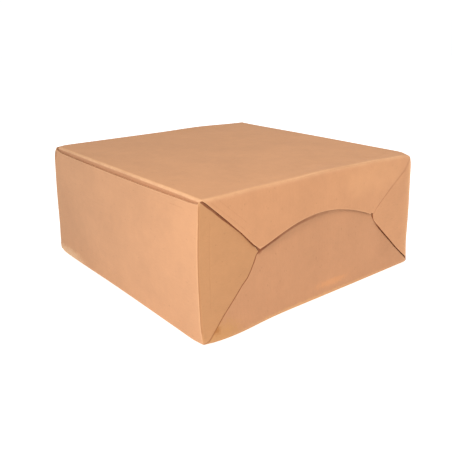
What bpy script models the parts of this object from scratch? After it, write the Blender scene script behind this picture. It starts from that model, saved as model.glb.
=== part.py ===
"""A one-piece folding cake box, modelled crease by crease.

The box is a glued tube of thin fluted board that lies on its side. Its tube runs along X. The end at +X is
a crash-lock end: two large flaps and two triangular side flaps that lock together as the tube is squared up.
The end at -X is a tuck end: a lid with a tuck flap and two dust flaps. The glue seam runs along the top edge
of the front panel. Every panel between two creases is one plate of board, with the crease line split between
the two plates that it joins.

All lengths are in metres, with the origin at the centre of the base and +Z up.
"""
import math

import bmesh
import bpy
from mathutils import Matrix, Vector

# Overall outside size of the folded box
CARTON_LENGTH = 0.230
CARTON_WIDTH = 0.230
CARTON_HEIGHT = 0.102

# Board and creases
BOARD = 0.0015
GAP = 0.0003
CREASE_RADIUS = 0.0023
ARC_STEPS = 4

# Glue seam along the top edge of the front panel
SEAM_DROP = 0.0045
GLUE_FILM = 0.0003
GLUE_FLAP_DEPTH = 0.030
GLUE_FLAP_TAPER = 0.014
GLUE_FLAP_END_CLEARANCE = 0.0042
SEAM_GLUE_WIDTH = 0.012
SEAM_GLUE_END_MARGIN = 0.016
SEAM_GLUE_EDGE_MARGIN = 0.005

# Crash-lock end. A share pair is (distance from the panel's side edge, height), both over the carton height.
FRONT_TIP_SHARES = (0.4735, 0.5470)
BACK_TIP_SHARES = (0.5039, 0.5470)
BACK_BLUNT_SHARES = ((0.4882, 0.5118), (0.4510, 0.4569))
SEAM_ARCH_RISE = 0.016
SEAM_ARCH_STEPS = 18
SEAM_OVERLAP = 0.0045
DIAGONAL_GAP = 0.0018
FLAP_PASS_SHARE = 0.4510
TONGUE_TOP_SHARE = 0.8330
TONGUE_START_SHARE = 0.6100
TONGUE_END_SHARE = 0.8700
TONGUE_CORNER_RADIUS = 0.008
FRONT_TAB_SHARES = ((0.0800, 0.0520), (0.6200, 0.0520), (0.9000, 0.4000), (0.4500, 0.5100))
BACK_TAB_SHARES = ((0.0750, 0.9480), (0.6370, 0.9480), (0.6860, 0.7600), (0.4150, 0.6500))
TAB_GLUE_WIDTH_SHARE = 0.5000
TAB_CORNER_RADIUS = 0.004

# Tuck end
LID_SIDE_RELIEF = 0.0010
TUCK_DEPTH = 0.020
TUCK_SIDE_RELIEF = 0.0030
TUCK_CORNER_RADIUS = 0.010
TUCK_SWING_CLEARANCE = 0.0008
TUCK_TURN_SHARE = 0.25
DUST_LENGTH = 0.062
DUST_FOOT_LIFT = 0.0080
DUST_HEAD_DROP = 0.0060
DUST_HEAD_SLOPE = math.radians(31.0)
DUST_FOOT_SLOPE = math.radians(4.0)
DUST_CORNER_RADIUS = 0.007

# Places that follow from the sizes
END_X = CARTON_LENGTH / 2
SIDE_Y = CARTON_WIDTH / 2
GLUE_ROOM = GLUE_FILM + 2 * GAP
SEAM_FACE_Y = -SIDE_Y + BOARD + GLUE_ROOM
DUST_FACE_X = -END_X + BOARD + GAP
LID_FOOT_Z = BOARD + GAP
LID_DROP = CARTON_HEIGHT - LID_FOOT_Z

# The lower large flap leans in until it passes behind the upper one, at this slope
LEAN_SLOPE = (BOARD + GAP) / (FLAP_PASS_SHARE * CARTON_HEIGHT)
LOWER_LEAN = math.atan(LEAN_SLOPE)
FRONT_LEAN = math.atan(LEAN_SLOPE * FRONT_TIP_SHARES[1] / FRONT_TIP_SHARES[0])

# The tuck flap leans up so that its tip clears the bottom panel as the lid swings out
TUCK_CLEAR_LEAN = math.asin(
    (TUCK_DEPTH ** 2 + 2 * LID_DROP * TUCK_SWING_CLEARANCE) / (2 * LID_DROP * TUCK_DEPTH)
)
TUCK_LEAN = TUCK_CLEAR_LEAN + TUCK_TURN_SHARE * math.atan(TUCK_DEPTH / LID_DROP)

SQUARE = math.pi / 2
X_AXIS = Vector((1, 0, 0))
Y_AXIS = Vector((0, 1, 0))
Z_AXIS = Vector((0, 0, 1))

# Linear colours of the board's faces and of dried glue
KRAFT = (0.60, 0.35, 0.19, 1.0)
KRAFT_LIGHT = (0.66, 0.39, 0.21, 1.0)
KRAFT_SHADE = (0.53, 0.30, 0.16, 1.0)
DRIED_GLUE = (0.80, 0.72, 0.52, 1.0)
BOARD_ROUGHNESS = 0.82
GLUE_ROUGHNESS = 0.40


def clear_scene():
    """Removes whatever the scene holds, so that only the box is left."""
    for item in list(bpy.data.objects):
        bpy.data.objects.remove(item, do_unlink=True)


def finish(name, colour, roughness=BOARD_ROUGHNESS):
    """Makes a plain non-metal material."""
    material = bpy.data.materials.new(name)
    material.use_nodes = True
    shader = material.node_tree.nodes["Principled BSDF"]
    shader.inputs["Base Color"].default_value = colour
    shader.inputs["Roughness"].default_value = roughness
    shader.inputs["Metallic"].default_value = 0
    material.diffuse_color = colour
    return material


def cut_edge(depth):
    """A cut edge of the board is square to its face."""
    return 0


def butt_edge(depth):
    """A flat crease: two plates in one plane share the gap."""
    return GAP / 2


def crease_edge(angle=SQUARE):
    """A folded crease between two plates that stand at an angle, with a rounded outside.

    The returned function gives how far the plate's edge stays back from the crease line at a depth
    below the outer face. The rounding runs to the plane that halves the angle, and that plane from there.
    """
    half = angle / 2
    tangent = CREASE_RADIUS / math.tan(half)
    arc_depth = CREASE_RADIUS * (1 - math.sin(half))
    set_back = GAP / 2 / math.sin(half)

    def inset(depth):
        mitre = depth / math.tan(half)
        if depth >= arc_depth:
            return mitre + set_back
        rise = CREASE_RADIUS - depth
        return max(mitre, tangent - math.sqrt(CREASE_RADIUS ** 2 - rise ** 2)) + set_back

    return inset


def layer_depths(thickness, rounded):
    """Depths of the plate's outlines, from its outer face to its inner one."""
    if not rounded:
        return [0, thickness]
    depths = []
    for step in range(ARC_STEPS + 1):
        turn = math.pi / 4 * step / ARC_STEPS
        depths.append(CREASE_RADIUS * (1 - math.cos(turn)))
    depths = [depth for depth in depths if depth < thickness]
    return depths + [thickness]


def left_normal(start, end):
    """Unit vector to the left of an edge, which is into an anticlockwise outline."""
    along = (end - start).normalized()
    return Vector((-along.y, along.x))


def inset_outline(corners, edges, depth):
    """The outline at a depth, with every edge moved in by its own inset."""
    moved = []
    count = len(corners)
    for index, corner in enumerate(corners):
        before = left_normal(corners[index - 1], corner)
        after = left_normal(corner, corners[(index + 1) % count])
        in_before = edges[index - 1](depth)
        in_after = edges[index](depth)
        cross = before.x * after.y - before.y * after.x
        if abs(cross) < math.sin(math.radians(1)):
            moved.append(corner + (before + after).normalized() * (in_before + in_after) / 2)
            continue
        shift_x = (in_before * after.y - in_after * before.y) / cross
        shift_y = (before.x * in_after - after.x * in_before) / cross
        moved.append(corner + Vector((shift_x, shift_y)))
    return moved


def plate_mesh(name, corners, edges, thickness=BOARD, depth_offset=0):
    """A plate with its outer face up, whose edges follow their own profiles through the thickness."""
    rounded = any(edge not in (cut_edge, butt_edge) for edge in edges)
    shell = bmesh.new()
    rings = []
    for depth in layer_depths(thickness, rounded):
        outline = inset_outline(corners, edges, depth)
        rings.append([shell.verts.new((spot.x, spot.y, -depth - depth_offset)) for spot in outline])
    shell.faces.new(rings[0])
    shell.faces.new(list(reversed(rings[-1])))
    count = len(corners)
    for upper, lower in zip(rings, rings[1:]):
        for index in range(count):
            after = (index + 1) % count
            shell.faces.new((upper[index], lower[index], lower[after], upper[after]))
    bmesh.ops.triangulate(shell, faces=shell.faces[:])
    mesh = bpy.data.meshes.new(name)
    shell.to_mesh(mesh)
    shell.free()
    return mesh


def place_plate(name, mesh, material, origin, right, up, parent):
    """Adds a plate whose local X and Y run along the given world directions."""
    mesh.materials.append(material)
    plate = bpy.data.objects.new(name, mesh)
    bpy.context.scene.collection.objects.link(plate)
    outward = right.cross(up)
    turn = Matrix((right, up, outward)).transposed().to_4x4()
    world = Matrix.Translation(origin) @ turn
    plate.parent = parent
    plate.matrix_parent_inverse = parent.matrix_world.inverted()
    plate.matrix_world = world
    bpy.context.view_layer.update()
    return plate


def round_corner(before, corner, after, radius):
    """Points of a rounded corner between two straight edges."""
    to_before = (before - corner).normalized()
    to_after = (after - corner).normalized()
    half = to_before.angle(to_after) / 2
    reach = min(radius / math.tan(half), (before - corner).length / 2, (after - corner).length / 2)
    radius = reach * math.tan(half)
    centre = corner + (to_before + to_after).normalized() * (radius / math.sin(half))
    start = corner + to_before * reach - centre
    sweep = start.angle_signed(corner + to_after * reach - centre)
    points = []
    for step in range(ARC_STEPS + 1):
        turn = -sweep * step / ARC_STEPS
        spin = Matrix.Rotation(turn, 2)
        points.append(centre + spin @ start)
    return points


def outline_with_rounds(corners, edges, radii):
    """Replaces the corners that have a radius by arcs of cut edge."""
    points = []
    kinds = []
    count = len(corners)
    for index, corner in enumerate(corners):
        if not radii[index]:
            points.append(corner)
            kinds.append(edges[index])
            continue
        arc = round_corner(corners[index - 1], corner, corners[(index + 1) % count], radii[index])
        points.extend(arc)
        kinds.extend([cut_edge] * (len(arc) - 1) + [edges[index]])
    return points, kinds


def rectangle(low_u, low_v, high_u, high_v):
    """Corners of a rectangle, anticlockwise from its lower left."""
    return [
        Vector((low_u, low_v)),
        Vector((high_u, low_v)),
        Vector((high_u, high_v)),
        Vector((low_u, high_v)),
    ]


def bottom_panel(parent):
    """The panel that the box rests on. Its edge at the tuck end is cut."""
    corners = rectangle(-SIDE_Y, -END_X, SIDE_Y, END_X)
    edges = [cut_edge, crease_edge(), crease_edge(SQUARE - LOWER_LEAN), crease_edge()]
    mesh = plate_mesh("bottom_panel", corners, edges)
    material = finish("kraft_bottom", KRAFT_SHADE)
    return place_plate("bottom_panel", mesh, material, Vector(), Y_AXIS, X_AXIS, parent)


def front_panel(parent):
    """The long side panel whose cut top edge shows along the glue seam."""
    corners = rectangle(DUST_FACE_X, 0, END_X, CARTON_HEIGHT - SEAM_DROP)
    edges = [crease_edge(), crease_edge(SQUARE - FRONT_LEAN), cut_edge, crease_edge()]
    mesh = plate_mesh("front_panel", corners, edges)
    material = finish("kraft_front", KRAFT_LIGHT)
    return place_plate("front_panel", mesh, material, Vector((0, -SIDE_Y, 0)), X_AXIS, Z_AXIS, parent)


def back_panel(parent):
    """The long side panel away from the seam, creased on all four edges."""
    corners = rectangle(-END_X, 0, -DUST_FACE_X, CARTON_HEIGHT)
    edges = [crease_edge()] * 4
    mesh = plate_mesh("back_panel", corners, edges)
    material = finish("kraft_back", KRAFT_SHADE)
    return place_plate("back_panel", mesh, material, Vector((0, SIDE_Y, 0)), -X_AXIS, Z_AXIS, parent)


def top_panel(parent):
    """The top of the box. Its front crease turns down behind the front panel."""
    corners = rectangle(-END_X, SEAM_FACE_Y, END_X, SIDE_Y)
    mesh = plate_mesh("top_panel", corners, [crease_edge()] * 4)
    material = finish("kraft_top", KRAFT)
    return place_plate("top_panel", mesh, material, Vector((0, 0, CARTON_HEIGHT)), X_AXIS, Y_AXIS, parent)


def glue_flap(parent):
    """The strip that turns down from the top panel and is glued inside the front panel."""
    half = END_X - GLUE_FLAP_END_CLEARANCE
    corners = [
        Vector((-half + GLUE_FLAP_TAPER, -GLUE_FLAP_DEPTH)),
        Vector((half - GLUE_FLAP_TAPER, -GLUE_FLAP_DEPTH)),
        Vector((half, 0)),
        Vector((-half, 0)),
    ]
    edges = [cut_edge, cut_edge, crease_edge(), cut_edge]
    mesh = plate_mesh("glue_flap", corners, edges)
    material = finish("kraft_glue_flap", KRAFT_SHADE)
    origin = Vector((0, SEAM_FACE_Y, CARTON_HEIGHT))
    return place_plate("glue_flap", mesh, material, origin, X_AXIS, Z_AXIS, parent)


def seam_glue_line(parent):
    """The film of dried glue between the glue flap and the front panel."""
    half = END_X - SEAM_GLUE_END_MARGIN
    top = -SEAM_DROP - SEAM_GLUE_EDGE_MARGIN
    corners = rectangle(-half, top - SEAM_GLUE_WIDTH, half, top)
    mesh = plate_mesh("seam_glue_line", corners, [cut_edge] * 4, GLUE_FILM)
    material = finish("dried_glue_seam", DRIED_GLUE, GLUE_ROUGHNESS)
    origin = Vector((0, -SIDE_Y + BOARD + GAP, CARTON_HEIGHT))
    return place_plate("seam_glue_line", mesh, material, origin, X_AXIS, Z_AXIS, parent)


def from_front(share_pair):
    """A place on the crash-lock end, from shares measured from its front bottom corner."""
    return Vector((share_pair[0], share_pair[1])) * CARTON_HEIGHT


def from_back(share_pair):
    """A place on the crash-lock end, from shares measured from its back bottom corner."""
    return Vector((CARTON_WIDTH - share_pair[0] * CARTON_HEIGHT, share_pair[1] * CARTON_HEIGHT))


def seam_arch(lift=0):
    """The curved edge of the upper large flap, from the front tip to the back tip.

    It is an arc of a circle through both tips that rises by SEAM_ARCH_RISE, moved up by lift.
    """
    start = from_front(FRONT_TIP_SHARES)
    end = from_back(BACK_TIP_SHARES)
    half = (end.x - start.x) / 2
    radius = (half ** 2 + SEAM_ARCH_RISE ** 2) / (2 * SEAM_ARCH_RISE)
    points = []
    for step in range(SEAM_ARCH_STEPS + 1):
        across = -half + 2 * half * step / SEAM_ARCH_STEPS
        rise = math.sqrt(radius ** 2 - across ** 2) - (radius - SEAM_ARCH_RISE)
        points.append(Vector((start.x + half + across, start.y + rise + lift)))
    return points


def end_plate(name, mesh, material, parent, lean=0, upright_fold=False):
    """Places a flap of the crash-lock end, leaning in about its own fold where it has a lean."""
    right = Y_AXIS.copy()
    up = Z_AXIS.copy()
    if upright_fold:
        right.rotate(Matrix.Rotation(lean, 3, "Z"))
    else:
        up.rotate(Matrix.Rotation(-lean, 3, "Y"))
    return place_plate(name, mesh, material, Vector((END_X, -SIDE_Y, 0)), right, up, parent)


def upper_major_flap(parent):
    """The upper large flap: it lies outermost, and its free edge is the curved seam."""
    corners = [Vector((CARTON_WIDTH, CARTON_HEIGHT)), Vector((0, CARTON_HEIGHT))] + seam_arch()
    edges = [crease_edge(), cut_edge] + [cut_edge] * SEAM_ARCH_STEPS + [butt_edge]
    mesh = plate_mesh("upper_major_flap", corners, edges)
    return end_plate("upper_major_flap", mesh, finish("kraft_upper_flap", KRAFT_LIGHT), parent)


def back_minor_flap(parent):
    """The triangular flap of the back panel, level with the upper large flap, with a blunt tip."""
    tip = from_back(BACK_TIP_SHARES)
    blunt = [from_back(pair) for pair in BACK_BLUNT_SHARES]
    corners = [Vector((CARTON_WIDTH, 0)), Vector((CARTON_WIDTH, CARTON_HEIGHT)), tip] + blunt
    edges = [crease_edge(), butt_edge, cut_edge, cut_edge, cut_edge]
    mesh = plate_mesh("back_minor_flap", corners, edges)
    return end_plate("back_minor_flap", mesh, finish("kraft_back_triangle", KRAFT_LIGHT), parent)


def shifted_line(start, end, distance):
    """A line moved to its left by a distance."""
    shift = left_normal(start, end) * distance
    return start + shift, end + shift


def front_minor_flap(parent):
    """The triangular flap of the front panel, which leans in to meet the lower large flap."""
    tip = from_front(FRONT_TIP_SHARES)
    high, low = shifted_line(Vector((0, CARTON_HEIGHT)), tip, -DIAGONAL_GAP)
    fall = (high.y - low.y) / (low.x - high.x)
    top = Vector((0, high.y + fall * high.x))
    share = (top.y / (tip.y / tip.x + fall)) / tip.x
    corners = [Vector((0, 0)), tip * share, top]
    edges = [butt_edge, cut_edge, crease_edge(SQUARE - FRONT_LEAN)]
    mesh = plate_mesh("front_minor_flap", corners, edges)
    material = finish("kraft_front_triangle", KRAFT)
    return end_plate("front_minor_flap", mesh, material, parent, FRONT_LEAN, True)


def lower_major_flap(parent):
    """The lower large flap: it leans in and its tongue passes up behind the upper large flap."""
    tip = from_front(FRONT_TIP_SHARES)
    heel = from_back(BACK_BLUNT_SHARES[-1])
    foot, shoulder = shifted_line(Vector((CARTON_WIDTH, 0)), heel, DIAGONAL_GAP)
    foot = Vector((min(foot.x, CARTON_WIDTH), 0))
    tongue_top = TONGUE_TOP_SHARE * CARTON_HEIGHT
    start_u = TONGUE_START_SHARE * CARTON_HEIGHT
    end_u = CARTON_WIDTH - TONGUE_END_SHARE * CARTON_HEIGHT
    behind = [spot for spot in seam_arch(SEAM_OVERLAP) if spot.x > end_u]
    corners = [Vector((0, 0)), foot, shoulder] + list(reversed(behind))
    corners += [Vector((end_u, tongue_top)), Vector((start_u, tongue_top)), tip]
    edges = [crease_edge(SQUARE - LOWER_LEAN)] + [cut_edge] * (len(corners) - 2) + [butt_edge]
    radii = [0] * len(corners)
    radii[-3] = TONGUE_CORNER_RADIUS
    radii[-2] = TONGUE_CORNER_RADIUS
    points, kinds = outline_with_rounds(corners, edges, radii)
    mesh = plate_mesh("lower_major_flap", points, kinds)
    material = finish("kraft_lower_flap", KRAFT_SHADE)
    return end_plate("lower_major_flap", mesh, material, parent, LOWER_LEAN)


def tab_outline(corners):
    """A glue tab's outline, with its two free corners rounded."""
    return outline_with_rounds(corners, [cut_edge] * 4, [0, TAB_CORNER_RADIUS, TAB_CORNER_RADIUS, 0])


def shrunk(corners, share):
    """A quadrilateral drawn in towards its middle."""
    middle = sum(corners, Vector((0, 0))) / len(corners)
    return [middle + (corner - middle) * share for corner in corners]


def glue_tab(name, glue_name, corners, lean, parent):
    """A glued tab behind a large flap, with the film of glue that holds it."""
    points, kinds = tab_outline(corners)
    tab = plate_mesh(name, points, kinds, BOARD, BOARD + GLUE_ROOM)
    end_plate(name, tab, finish("kraft_" + name, KRAFT_SHADE), parent, lean)
    patch = shrunk(corners, TAB_GLUE_WIDTH_SHARE)
    film = plate_mesh(glue_name, patch, [cut_edge] * 4, GLUE_FILM, BOARD + GAP)
    end_plate(glue_name, film, finish("dried_" + glue_name, DRIED_GLUE, GLUE_ROUGHNESS), parent, lean)


def glue_tabs(parent):
    """The two tabs that join each triangular flap to its neighbouring large flap."""
    front = [from_front(pair) for pair in FRONT_TAB_SHARES]
    glue_tab("front_glue_tab", "front_tab_glue", front, LOWER_LEAN, parent)
    back = [from_back(pair) for pair in BACK_TAB_SHARES]
    glue_tab("back_glue_tab", "back_tab_glue", back, 0, parent)


def lid_panel(parent):
    """The lid of the tuck end, hinged on the top panel's crease."""
    half = SIDE_Y - LID_SIDE_RELIEF
    corners = rectangle(-half, -LID_DROP, half, 0)
    edges = [crease_edge(SQUARE - TUCK_LEAN), cut_edge, crease_edge(), cut_edge]
    mesh = plate_mesh("lid_panel", corners, edges)
    origin = Vector((-END_X, 0, CARTON_HEIGHT))
    return place_plate("lid_panel", mesh, finish("kraft_lid", KRAFT), origin, -Y_AXIS, Z_AXIS, parent)


def tuck_flap(lid):
    """The flap that turns in from the lid's foot, over the bottom panel."""
    half = SIDE_Y - LID_SIDE_RELIEF - TUCK_SIDE_RELIEF
    corners = rectangle(-half, 0, half, TUCK_DEPTH)
    edges = [crease_edge(SQUARE - TUCK_LEAN), cut_edge, cut_edge, cut_edge]
    radii = [0, 0, TUCK_CORNER_RADIUS, TUCK_CORNER_RADIUS]
    points, kinds = outline_with_rounds(corners, edges, radii)
    mesh = plate_mesh("tuck_flap", points, kinds)
    inward = X_AXIS.copy()
    inward.rotate(Matrix.Rotation(-TUCK_LEAN, 3, "Y"))
    origin = Vector((-END_X, 0, LID_FOOT_Z))
    return place_plate("tuck_flap", mesh, finish("kraft_tuck", KRAFT_SHADE), origin, Y_AXIS, inward, lid)


def dust_outline(side):
    """A dust flap's outline on the given side of its hinge, with its free corners rounded."""
    head = CARTON_HEIGHT - DUST_HEAD_DROP
    corners = [
        Vector((0, DUST_FOOT_LIFT)),
        Vector((DUST_LENGTH, DUST_FOOT_LIFT + DUST_LENGTH * math.tan(DUST_FOOT_SLOPE))),
        Vector((DUST_LENGTH, head - DUST_LENGTH * math.tan(DUST_HEAD_SLOPE))),
        Vector((0, head)),
    ]
    edges = [cut_edge, cut_edge, cut_edge, crease_edge()]
    radii = [0, DUST_CORNER_RADIUS, DUST_CORNER_RADIUS, 0]
    if side > 0:
        return outline_with_rounds(corners, edges, radii)
    mirrored = [Vector((-corner.x, corner.y)) for corner in reversed(corners)]
    return outline_with_rounds(mirrored, [cut_edge, cut_edge, cut_edge, crease_edge()], radii)


def dust_flap(name, side, parent):
    """A dust flap folded in behind the lid, hinged at the end of a side panel."""
    points, kinds = dust_outline(side)
    mesh = plate_mesh(name, points, kinds)
    origin = Vector((DUST_FACE_X, side * SIDE_Y, 0))
    return place_plate(name, mesh, finish("kraft_" + name, KRAFT_SHADE), origin, -Y_AXIS, Z_AXIS, parent)


def build():
    """Builds the whole box under one empty at the centre of its base."""
    clear_scene()
    base = bpy.data.objects.new("carton_base", None)
    bpy.context.scene.collection.objects.link(base)
    bottom_panel(base)
    front_panel(base)
    back_panel(base)
    top_panel(base)
    glue_flap(base)
    seam_glue_line(base)
    upper_major_flap(base)
    back_minor_flap(base)
    lower_major_flap(base)
    front_minor_flap(base)
    glue_tabs(base)
    tuck_flap(lid_panel(base))
    dust_flap("front_dust_flap", -1, base)
    dust_flap("back_dust_flap", 1, base)


build()
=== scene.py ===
"""The looks of a plain kraft cake box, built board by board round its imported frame.

Every panel and flap is a sheet of thin fluted board: an outer liner, an inner liner and a waved medium that
shows in the cut edges. A sheet is drawn flat, cut to a fine grid, bent round its creases and then settled, so
that the box has the slight bulges, dents and worn creases of a handled carton. All lengths are in metres.
"""
import logging
import math
from dataclasses import dataclass, field
from enum import Enum

import bmesh
import bpy
import numpy as np
from mathutils import Matrix, Vector


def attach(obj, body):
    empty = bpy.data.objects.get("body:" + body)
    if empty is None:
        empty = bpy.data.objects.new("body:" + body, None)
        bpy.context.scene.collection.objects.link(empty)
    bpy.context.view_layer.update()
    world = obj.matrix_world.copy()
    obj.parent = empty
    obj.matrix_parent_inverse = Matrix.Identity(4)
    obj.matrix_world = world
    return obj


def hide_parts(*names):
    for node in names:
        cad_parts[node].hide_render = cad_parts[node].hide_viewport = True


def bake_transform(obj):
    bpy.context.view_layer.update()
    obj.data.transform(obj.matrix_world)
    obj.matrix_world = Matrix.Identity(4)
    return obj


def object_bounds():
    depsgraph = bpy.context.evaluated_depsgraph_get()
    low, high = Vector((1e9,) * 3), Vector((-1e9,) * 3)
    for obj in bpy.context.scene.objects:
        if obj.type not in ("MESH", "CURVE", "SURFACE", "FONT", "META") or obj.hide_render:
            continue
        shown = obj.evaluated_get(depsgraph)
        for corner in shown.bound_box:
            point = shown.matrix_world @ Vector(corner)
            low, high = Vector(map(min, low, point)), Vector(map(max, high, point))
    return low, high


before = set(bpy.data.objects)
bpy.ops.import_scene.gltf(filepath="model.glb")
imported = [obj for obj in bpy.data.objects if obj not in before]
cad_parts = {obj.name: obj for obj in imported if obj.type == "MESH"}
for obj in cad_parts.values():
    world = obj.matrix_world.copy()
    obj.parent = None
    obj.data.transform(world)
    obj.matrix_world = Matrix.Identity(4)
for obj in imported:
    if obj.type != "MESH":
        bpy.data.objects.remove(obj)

LOG = logging.getLogger("cake_box")

MM = 0.001
SQUARE = math.pi / 2
PHOTO_WIDTH = 452
X_AXIS = Vector((1, 0, 0))
Y_AXIS = Vector((0, 1, 0))
Z_AXIS = Vector((0, 0, 1))

CAD_LOW, CAD_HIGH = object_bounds()

Flat = tuple[float, float]
Place = tuple[float, float, float]
Colour = tuple[float, float, float]
Sizes = tuple[float, ...]
Spots = tuple[Flat, ...]
Marks = tuple[tuple[Flat, Flat, float, float], ...]
Swells = tuple[tuple[Flat, Flat, float], ...]
Socket = bpy.types.NodeSocket

# Where a flat sheet is cut: beside a crease in shares of its reach, beside a pressed line in half widths.
CREASE_CUTS = tuple(step / 8 for step in range(-8, 9)) + (1.25, 1.6)
SCORE_CUTS = (-2.4, -1.6, -1.25, -1.0, -0.75, -0.5, 0.0, 0.5, 0.75, 1.0, 1.25, 1.6, 2.4)
CUT_TOLERANCE = 0.02 * MM
WELD_DISTANCE = 0.001 * MM
SHARP_ANGLE = math.radians(40)
# How far the paper's pattern moves on from board to board, and how deep a rubbed patch reaches through one.
PATTERN_STEP = 0.37
PATCH_DEPTH = 10 * MM
# Numbers of the sockets of a colour mix: its share and both colours, and its result.
MIX_INPUTS = (0, 6, 7)
MIX_OUTPUT = 2


class Wall(Enum):
    """What one side of a sheet's outline is."""

    CUT = "cut edge that shows the flutes"
    PRESSED = "cut edge pressed flat, which hides the flutes"
    FOLD = "edge on a crease or a butt line, where the next sheet begins"


class Face(Enum):
    """The material slots of a sheet."""

    OUTER = 0
    INNER = 1
    CORE = 2


class Slot(Enum):
    """The record's material slots."""

    BOARD = "kraft_board"
    GLUE = "dried_glue"


@dataclass(frozen=True)
class Board:
    """Thin fluted board.

    Attributes:
        thickness: whole thickness.
        liner: thickness of each liner.
        pitch: distance from flute to flute.
        recess: how far the core sits back in a cut edge.
        medium: thickness of the waved medium.
        radius: outer radius of a folded crease.
        grid: largest spacing of the fine grid.
        ribbon_step: spacing of the points along the waved medium.
        ribbon_setback: how far its edge lies behind the liners' edges.
        line_depth: depth at which a pressed line is fully dark.
    """

    thickness: float = 1.5 * MM
    liner: float = 0.26 * MM
    pitch: float = 3.2 * MM
    recess: float = 0.5 * MM
    medium: float = 0.16 * MM
    radius: float = 2.3 * MM
    grid: float = 5 * MM
    ribbon_step: float = 0.4 * MM
    ribbon_setback: float = 0.15 * MM
    line_depth: float = 0.25 * MM

    @property
    def face_reach(self) -> float:
        """How far the middle of a grid face can lie from its corners, with a little to spare."""
        return 0.75 * self.grid


BOARD = Board()


@dataclass(frozen=True)
class Carton:
    """Places of the set-up box.

    Attributes:
        end_x: half of the length along the tube.
        side_y: half of the width.
        height: height of the top.
        gap: gap between pieces in the frame.
        glue_room: room between two glued boards.
        front_tip: front end of the curved seam, from the front bottom corner.
        lid_foot: height of the lid's lower crease.
        dust_foot: height of the dust flaps' lower ends at their creases.
        dust_head: height of their upper ends there.
        lean_height: height at which the lower large flap lies one board behind the end's face.
    """

    end_x: float = CAD_HIGH.x
    side_y: float = CAD_HIGH.y
    height: float = CAD_HIGH.z
    gap: float = 0.3 * MM
    glue_room: float = 0.9 * MM
    front_tip: Flat = (51.1 * MM, 53.6 * MM)
    lid_foot: float = 1.8 * MM
    dust_foot: float = 8 * MM
    dust_head: float = 96 * MM
    lean_height: float = 46 * MM

    @property
    def width(self) -> float:
        """Whole width across the tube."""
        return 2 * self.side_y

    @property
    def dust_x(self) -> float:
        """Outer face of the folded dust flaps."""
        return -self.end_x + BOARD.thickness + self.gap

    @property
    def seam_y(self) -> float:
        """Outer face of the glue flap behind the front panel."""
        return -self.side_y + BOARD.thickness + self.glue_room

    @property
    def lower_lean(self) -> float:
        """How far the lower large flap leans in about its crease."""
        return math.atan((BOARD.thickness + self.gap) / self.lean_height)

    @property
    def front_lean(self) -> float:
        """How far the front triangle leans in, so that it meets the lower large flap along a line."""
        slope = math.tan(self.lower_lean) * self.front_tip[1] / self.front_tip[0]
        return math.atan(slope)


CARTON = Carton()


@dataclass(frozen=True)
class Crease:
    """A crease line in a sheet's plane.

    Attributes:
        spot: a point on the crease line.
        inward: unit vector from the line into the sheet.
        angle: interior angle between the two boards that meet there.
        wear: how pale the crease is rubbed, from 0 to 1; the pale band also paints the highlight of its lit
            rounding.
        wear_width: distance from the crease over which the rubbing fades.
        wear_crispness: how sharply it fades.
    """

    spot: Vector
    inward: Vector
    angle: float = SQUARE
    wear: float = 0.3
    wear_width: float = 2.2 * MM
    wear_crispness: int = 2

    @property
    def reach(self) -> float:
        """Distance from the crease line to where the rounding ends."""
        return BOARD.radius / math.tan(self.angle / 2)

    def away(self, places: np.ndarray) -> np.ndarray:
        """Distance of places from the crease line, positive in the sheet."""
        return (places - np.array(self.spot)) @ np.array(self.inward)


@dataclass(frozen=True)
class Score:
    """A line pressed into a sheet, which does not fold it. Its darkening paints the shade of gaps, folds and
    seams as well as pressed marks.

    Attributes:
        start: its start in the sheet's plane.
        end: its end.
        dip: how deep it is.
        width: its half width.
        crispness: how steep its sides are.
    """

    start: Vector
    end: Vector
    dip: float
    width: float
    crispness: int = 2

    def sink(self, places: np.ndarray) -> np.ndarray:
        """How far each place sinks into the line."""
        away = side_distance(places, self.start, self.end)
        return self.dip * np.exp(-(away / self.width) ** self.crispness)

    @property
    def cut_reach(self) -> float:
        """How far from the line the middle of a face that it may touch can lie."""
        return BOARD.face_reach + SCORE_CUTS[-1] * self.width

    def cut_lines(self) -> list[tuple[Vector, Vector]]:
        """A point and a normal for each line that cuts the sheet along the pressed line."""
        normal = left_normal(self.start, self.end)
        return [(self.start + normal * share * self.width, normal) for share in SCORE_CUTS]


@dataclass(frozen=True)
class Swell:
    """A low bulge of a sheet in its own plane, outwards where its height is positive.

    Attributes:
        centre: its middle.
        spread: its size along the plane's axes.
        height: how far it stands out.
    """

    centre: Flat
    spread: Flat
    height: float

    def rise(self, places: np.ndarray) -> np.ndarray:
        """How far each place stands out."""
        away = (places - np.array(self.centre)) / np.array(self.spread)
        return self.height * np.exp(-(away ** 2).sum(axis=1))


@dataclass(frozen=True)
class Dent:
    """A soft push on the settled box.

    Attributes:
        centre: where it is strongest.
        spread: how far it reaches along each axis.
        push: how far and where to it moves the board.
    """

    centre: Place
    spread: Place
    push: Place


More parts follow.
